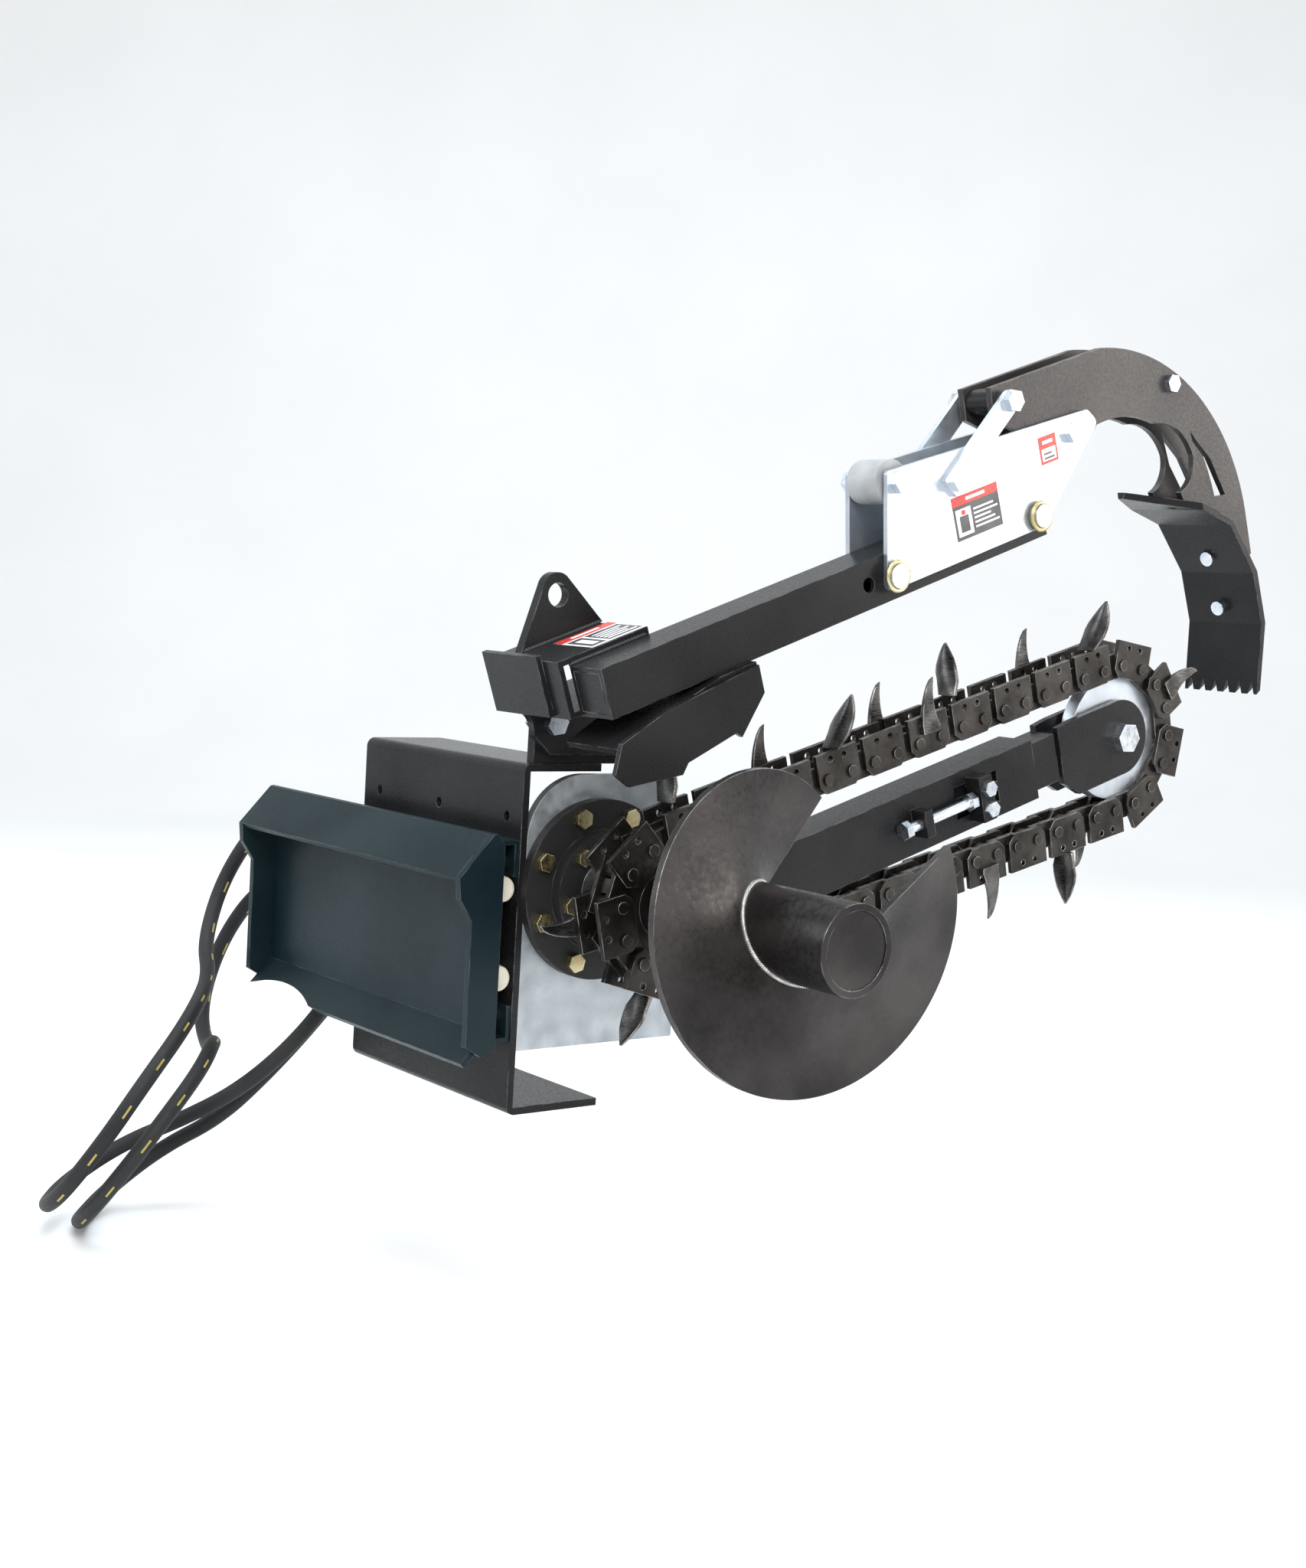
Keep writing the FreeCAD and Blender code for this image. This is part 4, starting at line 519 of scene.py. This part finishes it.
def add_fin(work, part):
    """Flat flame-shaped tooth, thinner towards its tip."""
    out = out_of_loop(part)
    ahead = Vector((0, 1, 0)).cross(out)
    heights = sorted(p.dot(out) for p in part)
    low, high = heights[0], heights[-1]
    foot = [p for p in part if p.dot(out) < low + 0.002]
    middle = sum(p.dot(ahead) for p in foot) / len(foot) + 0.001
    side = sum(p.y for p in part) / len(part)
    faces = []
    for sign in (-1, 1):
        ring = []
        for along, share in FIN_OUTLINE:
            at = out * (low + (high - low) * share) + ahead * (middle + along / 1000)
            at.y = side + sign * 0.00275 * (1 - 0.6 * share)
            ring.append(work.verts.new(at))
        faces.append(ring)
    count = len(FIN_OUTLINE)
    for k in range(count):
        work.faces.new((faces[0][k], faces[0][(k + 1) % count], faces[1][(k + 1) % count], faces[1][k]))
    work.faces.new(faces[0][::-1])
    work.faces.new(faces[1])


def add_cup(work, part):
    """Cupped, pointed leaf that leans ahead and to one side."""
    out = out_of_loop(part)
    ahead = Vector((0, 1, 0)).cross(out)
    part = sorted(part, key=lambda p: p.dot(out))
    foot = sum(part[:4], Vector()) / 4
    tip = sum(part[-4:], Vector()) / 4
    rest = part[4:-4]
    waist = sum(rest, Vector()) / len(rest)
    bend = (waist - foot.lerp(tip, 0.5)) * 2
    rows = []
    for share, wide in CUP_WIDTHS:
        on = foot.lerp(tip, share) + bend * share * (1 - share) + ahead * 0.012 * share ** 2
        face, back = [], []
        for k in range(7):
            across = (k / 3 - 1) * wide / 1000
            dish = 0.0055 * (k / 3 - 1) ** 2 * min(1, 4 * share) * min(1, wide / 12)
            thick = 0.0045 - 0.0025 * share
            at = on + Vector((0, across, 0)) + ahead * dish
            face.append(work.verts.new(at + ahead * thick / 2))
            back.append(work.verts.new(at - ahead * thick / 2))
        rows.append(face + back[::-1])
    for a, b in zip(rows[:-1], rows[1:]):
        for k in range(14):
            work.faces.new((a[k], a[(k + 1) % 14], b[(k + 1) % 14], b[k]))
    work.faces.new(rows[0][::-1])
    work.faces.new(rows[-1])


def make_cutters():
    kinds = (("chain_fins", "flame_teeth", add_fin), ("chain_cup_cutters", "leaf_cutters", add_cup))
    for node, name, add in kinds:
        work = bmesh.new()
        for part in loose_parts(node):
            add(work, part)
        piece = new_piece(name, mesh_from(name, work), "root", "worn_steel", CUTTER)
        sharpen(piece)
        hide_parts(node)


make_cutters()


# ---------------------------------------------------------------- rings and labels

RING_RADIUS = 0.0152
STICKER_LAYER = 0.00015


def make_ring(pin, body, u, w):
    """Sprung wire ring round a lock pin's head."""
    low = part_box(pin)[0]
    at = on_beam(u, w, low[1] + 0.0043)
    path = []
    for k in range(61):
        turn = 2 * math.pi * k / 60
        path.append(at + (ALONG_BEAM * math.cos(turn) + UP_BEAM * math.sin(turn)) * RING_RADIUS)
    mesh = tube_mesh(pin + "_ring", path, lambda i: 0.0024, 12)
    new_piece(pin + "_ring", mesh, body, "white_zinc", GOLD_ZINC)


def make_label(name, corner, across, up, marks):
    """Sticker of flat patches: (left, right, low, high, layer, colour) in millimetres."""
    work = bmesh.new()
    out = across.cross(up)
    for left, right, low, high, layer, colour in marks:
        rise = out * (0.0001 + STICKER_LAYER * layer)
        spots = [corner + across * x / 1000 + up * z / 1000 for x, z in
                 ((left, low), (right, low), (right, high), (left, high))]
        under = [work.verts.new(p - out * 0.0002) for p in spots]
        over = [work.verts.new(p + rise) for p in spots]
        sides = [(under[k], under[(k + 1) % 4], over[(k + 1) % 4], over[k]) for k in range(4)]
        for quad in sides + [tuple(over)]:
            work.faces.new(quad).material_index = colour
    mesh = bpy.data.meshes.new(name)
    work.to_mesh(mesh)
    work.free()
    new_piece(name, mesh, "root", "cap_plastic", RED, LABEL_GREY, LABEL_WHITE, smooth=False)


def make_labels():
    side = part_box("crumber_bracket_right")[0][1]
    bars = [(0, 73, 0, 48.5, 1, 1), (0, 73, 38, 48.5, 2, 0), (3, 27, 4, 34, 2, 2), (8, 22, 8, 26, 3, 1),
            (12, 18, 27, 32, 3, 0)]
    bars += [(31, 69 - 6 * (k % 3), 8 + 5 * k, 10.2 + 5 * k, 2, 2) for k in range(5)]
    bars += [(22, 52, 41.5, 45, 3, 2)]
    make_label("bracket_warning_label", on_beam(0.494, 0.0335, side), ALONG_BEAM, UP_BEAM, bars)
    small = [(0, 29, 0, 31, 1, 0), (3, 26, 3, 17, 2, 2), (6, 23, 5, 7, 3, 1), (6, 19, 10, 12, 3, 1),
             (6, 23, 22, 26, 2, 2)]
    make_label("bracket_small_label", on_beam(0.643, 0.079, side), ALONG_BEAM, UP_BEAM, small)
    lid = [(0, 72, 0, 68, 1, 2), (0, 72, 52, 68, 2, 0), (3, 22, 4, 48, 2, 1), (8, 17, 10, 40, 3, 2),
           (26, 69, 4, 48, 2, 1), (18, 54, 57, 63, 3, 2)]
    lid += [(29, 66 - 7 * (k % 2), 9 + 7 * k, 12 + 7 * k, 3, 2) for k in range(5)]
    make_label("support_warning_label", on_beam(0.0335, 0.060, -0.312), ALONG_BEAM, Vector((0, 1, 0)), lid)


make_ring("lock_pin_rear", "rear_pin", 0.393, 0.026)
make_ring("lock_pin_front", "front_pin", 0.624, 0.026)
make_labels()


# ---------------------------------------------------------------- stage, light and camera

def lamp(name, at, aim, size, power, tint):
    data = bpy.data.lights.new(name, "AREA")
    data.shape = "RECTANGLE"
    data.size, data.size_y = size
    data.energy = power
    data.color = tint
    thing = bpy.data.objects.new(name, data)
    bpy.context.scene.collection.objects.link(thing)
    thing.location = at
    thing.rotation_euler = (Vector(aim) - Vector(at)).to_track_quat("-Z", "Y").to_euler()


def make_floor():
    low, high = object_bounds()
    work = bmesh.new()
    half = 9.0
    sweep = []
    for k in range(13):
        turn = math.radians(90 * k / 12)
        sweep.append((4.0 + 2.0 * math.sin(turn), 2.0 - 2.0 * math.cos(turn)))
    outline = [(-9.0, 0.0)] + sweep + [(6.0, 9.0)]
    way = Vector((0.6175, 0.7866, 0))
    side = Vector((0.7866, -0.6175, 0))
    base = Vector((0, 0, low[2] - 0.002))
    rows = [[work.verts.new(base + way * d + side * s + Vector((0, 0, h))) for s in (-half, half)]
            for d, h in outline]
    for a, b in zip(rows[:-1], rows[1:]):
        work.faces.new((a[0], a[1], b[1], b[0]))
    floor = bpy.data.objects.new("studio_floor", mesh_from("studio_floor", work))
    bpy.context.scene.collection.objects.link(floor)
    floor.data.materials.append(material("pale_floor", (0.86, 0.86, 0.86), (0.89, 0.89, 0.89), (0.7, 0.85),
                                         relief=0.02, patch=1.5, edge=0.0))
    for face in floor.data.polygons:
        face.use_smooth = True


def make_camera():
    """Level of the coupler's crest, looking forward and left, a little down."""
    turn = math.radians(51.862)
    drop = math.radians(4.941)
    roll = math.radians(3.390)
    ahead = Vector((math.cos(turn) * math.cos(drop), math.sin(turn) * math.cos(drop), -math.sin(drop)))
    level = Vector((math.sin(turn), -math.cos(turn), 0))
    down = ahead.cross(level)
    right = level * math.cos(roll) - down * math.sin(roll)
    below = down * math.cos(roll) + level * math.sin(roll)
    data = bpy.data.cameras.new("camera")
    data.lens = 49.05
    data.sensor_width = 36.0
    data.clip_end = 60.0
    camera = bpy.data.objects.new("camera", data)
    bpy.context.scene.collection.objects.link(camera)
    spin = Matrix((right, -below, -ahead)).transposed().to_4x4()
    camera.matrix_world = Matrix.Translation((-1.2021, -2.0247, 0.2469)) @ spin
    bpy.context.scene.camera = camera


make_floor()
make_camera()
lamp("sky", (0.2, 0.2, 3.4), (0.3, -0.2, 0), (3.6, 3.6), 120, (0.80, 0.93, 1.0))
lamp("key", (-1.6, -3.2, 2.2), (0.3, -0.3, 0.1), (2.2, 1.8), 105, (1.0, 0.97, 0.93))
lamp("side", (3.0, -2.2, 1.4), (0.4, -0.3, 0.1), (1.8, 2.2), 60, (1.0, 0.96, 0.92))
lamp("rear", (-2.6, 1.6, 1.8), (0, 0, 0), (1.6, 2.0), 45, (0.85, 0.93, 1.0))
world = bpy.data.worlds.new("studio")
bpy.context.scene.world = world
world.use_nodes = True
world.node_tree.nodes["Background"].inputs["Color"].default_value = (0.90, 0.92, 0.94, 1)
world.node_tree.nodes["Background"].inputs["Strength"].default_value = 0.80
bpy.context.scene.view_settings.view_transform = "Standard"
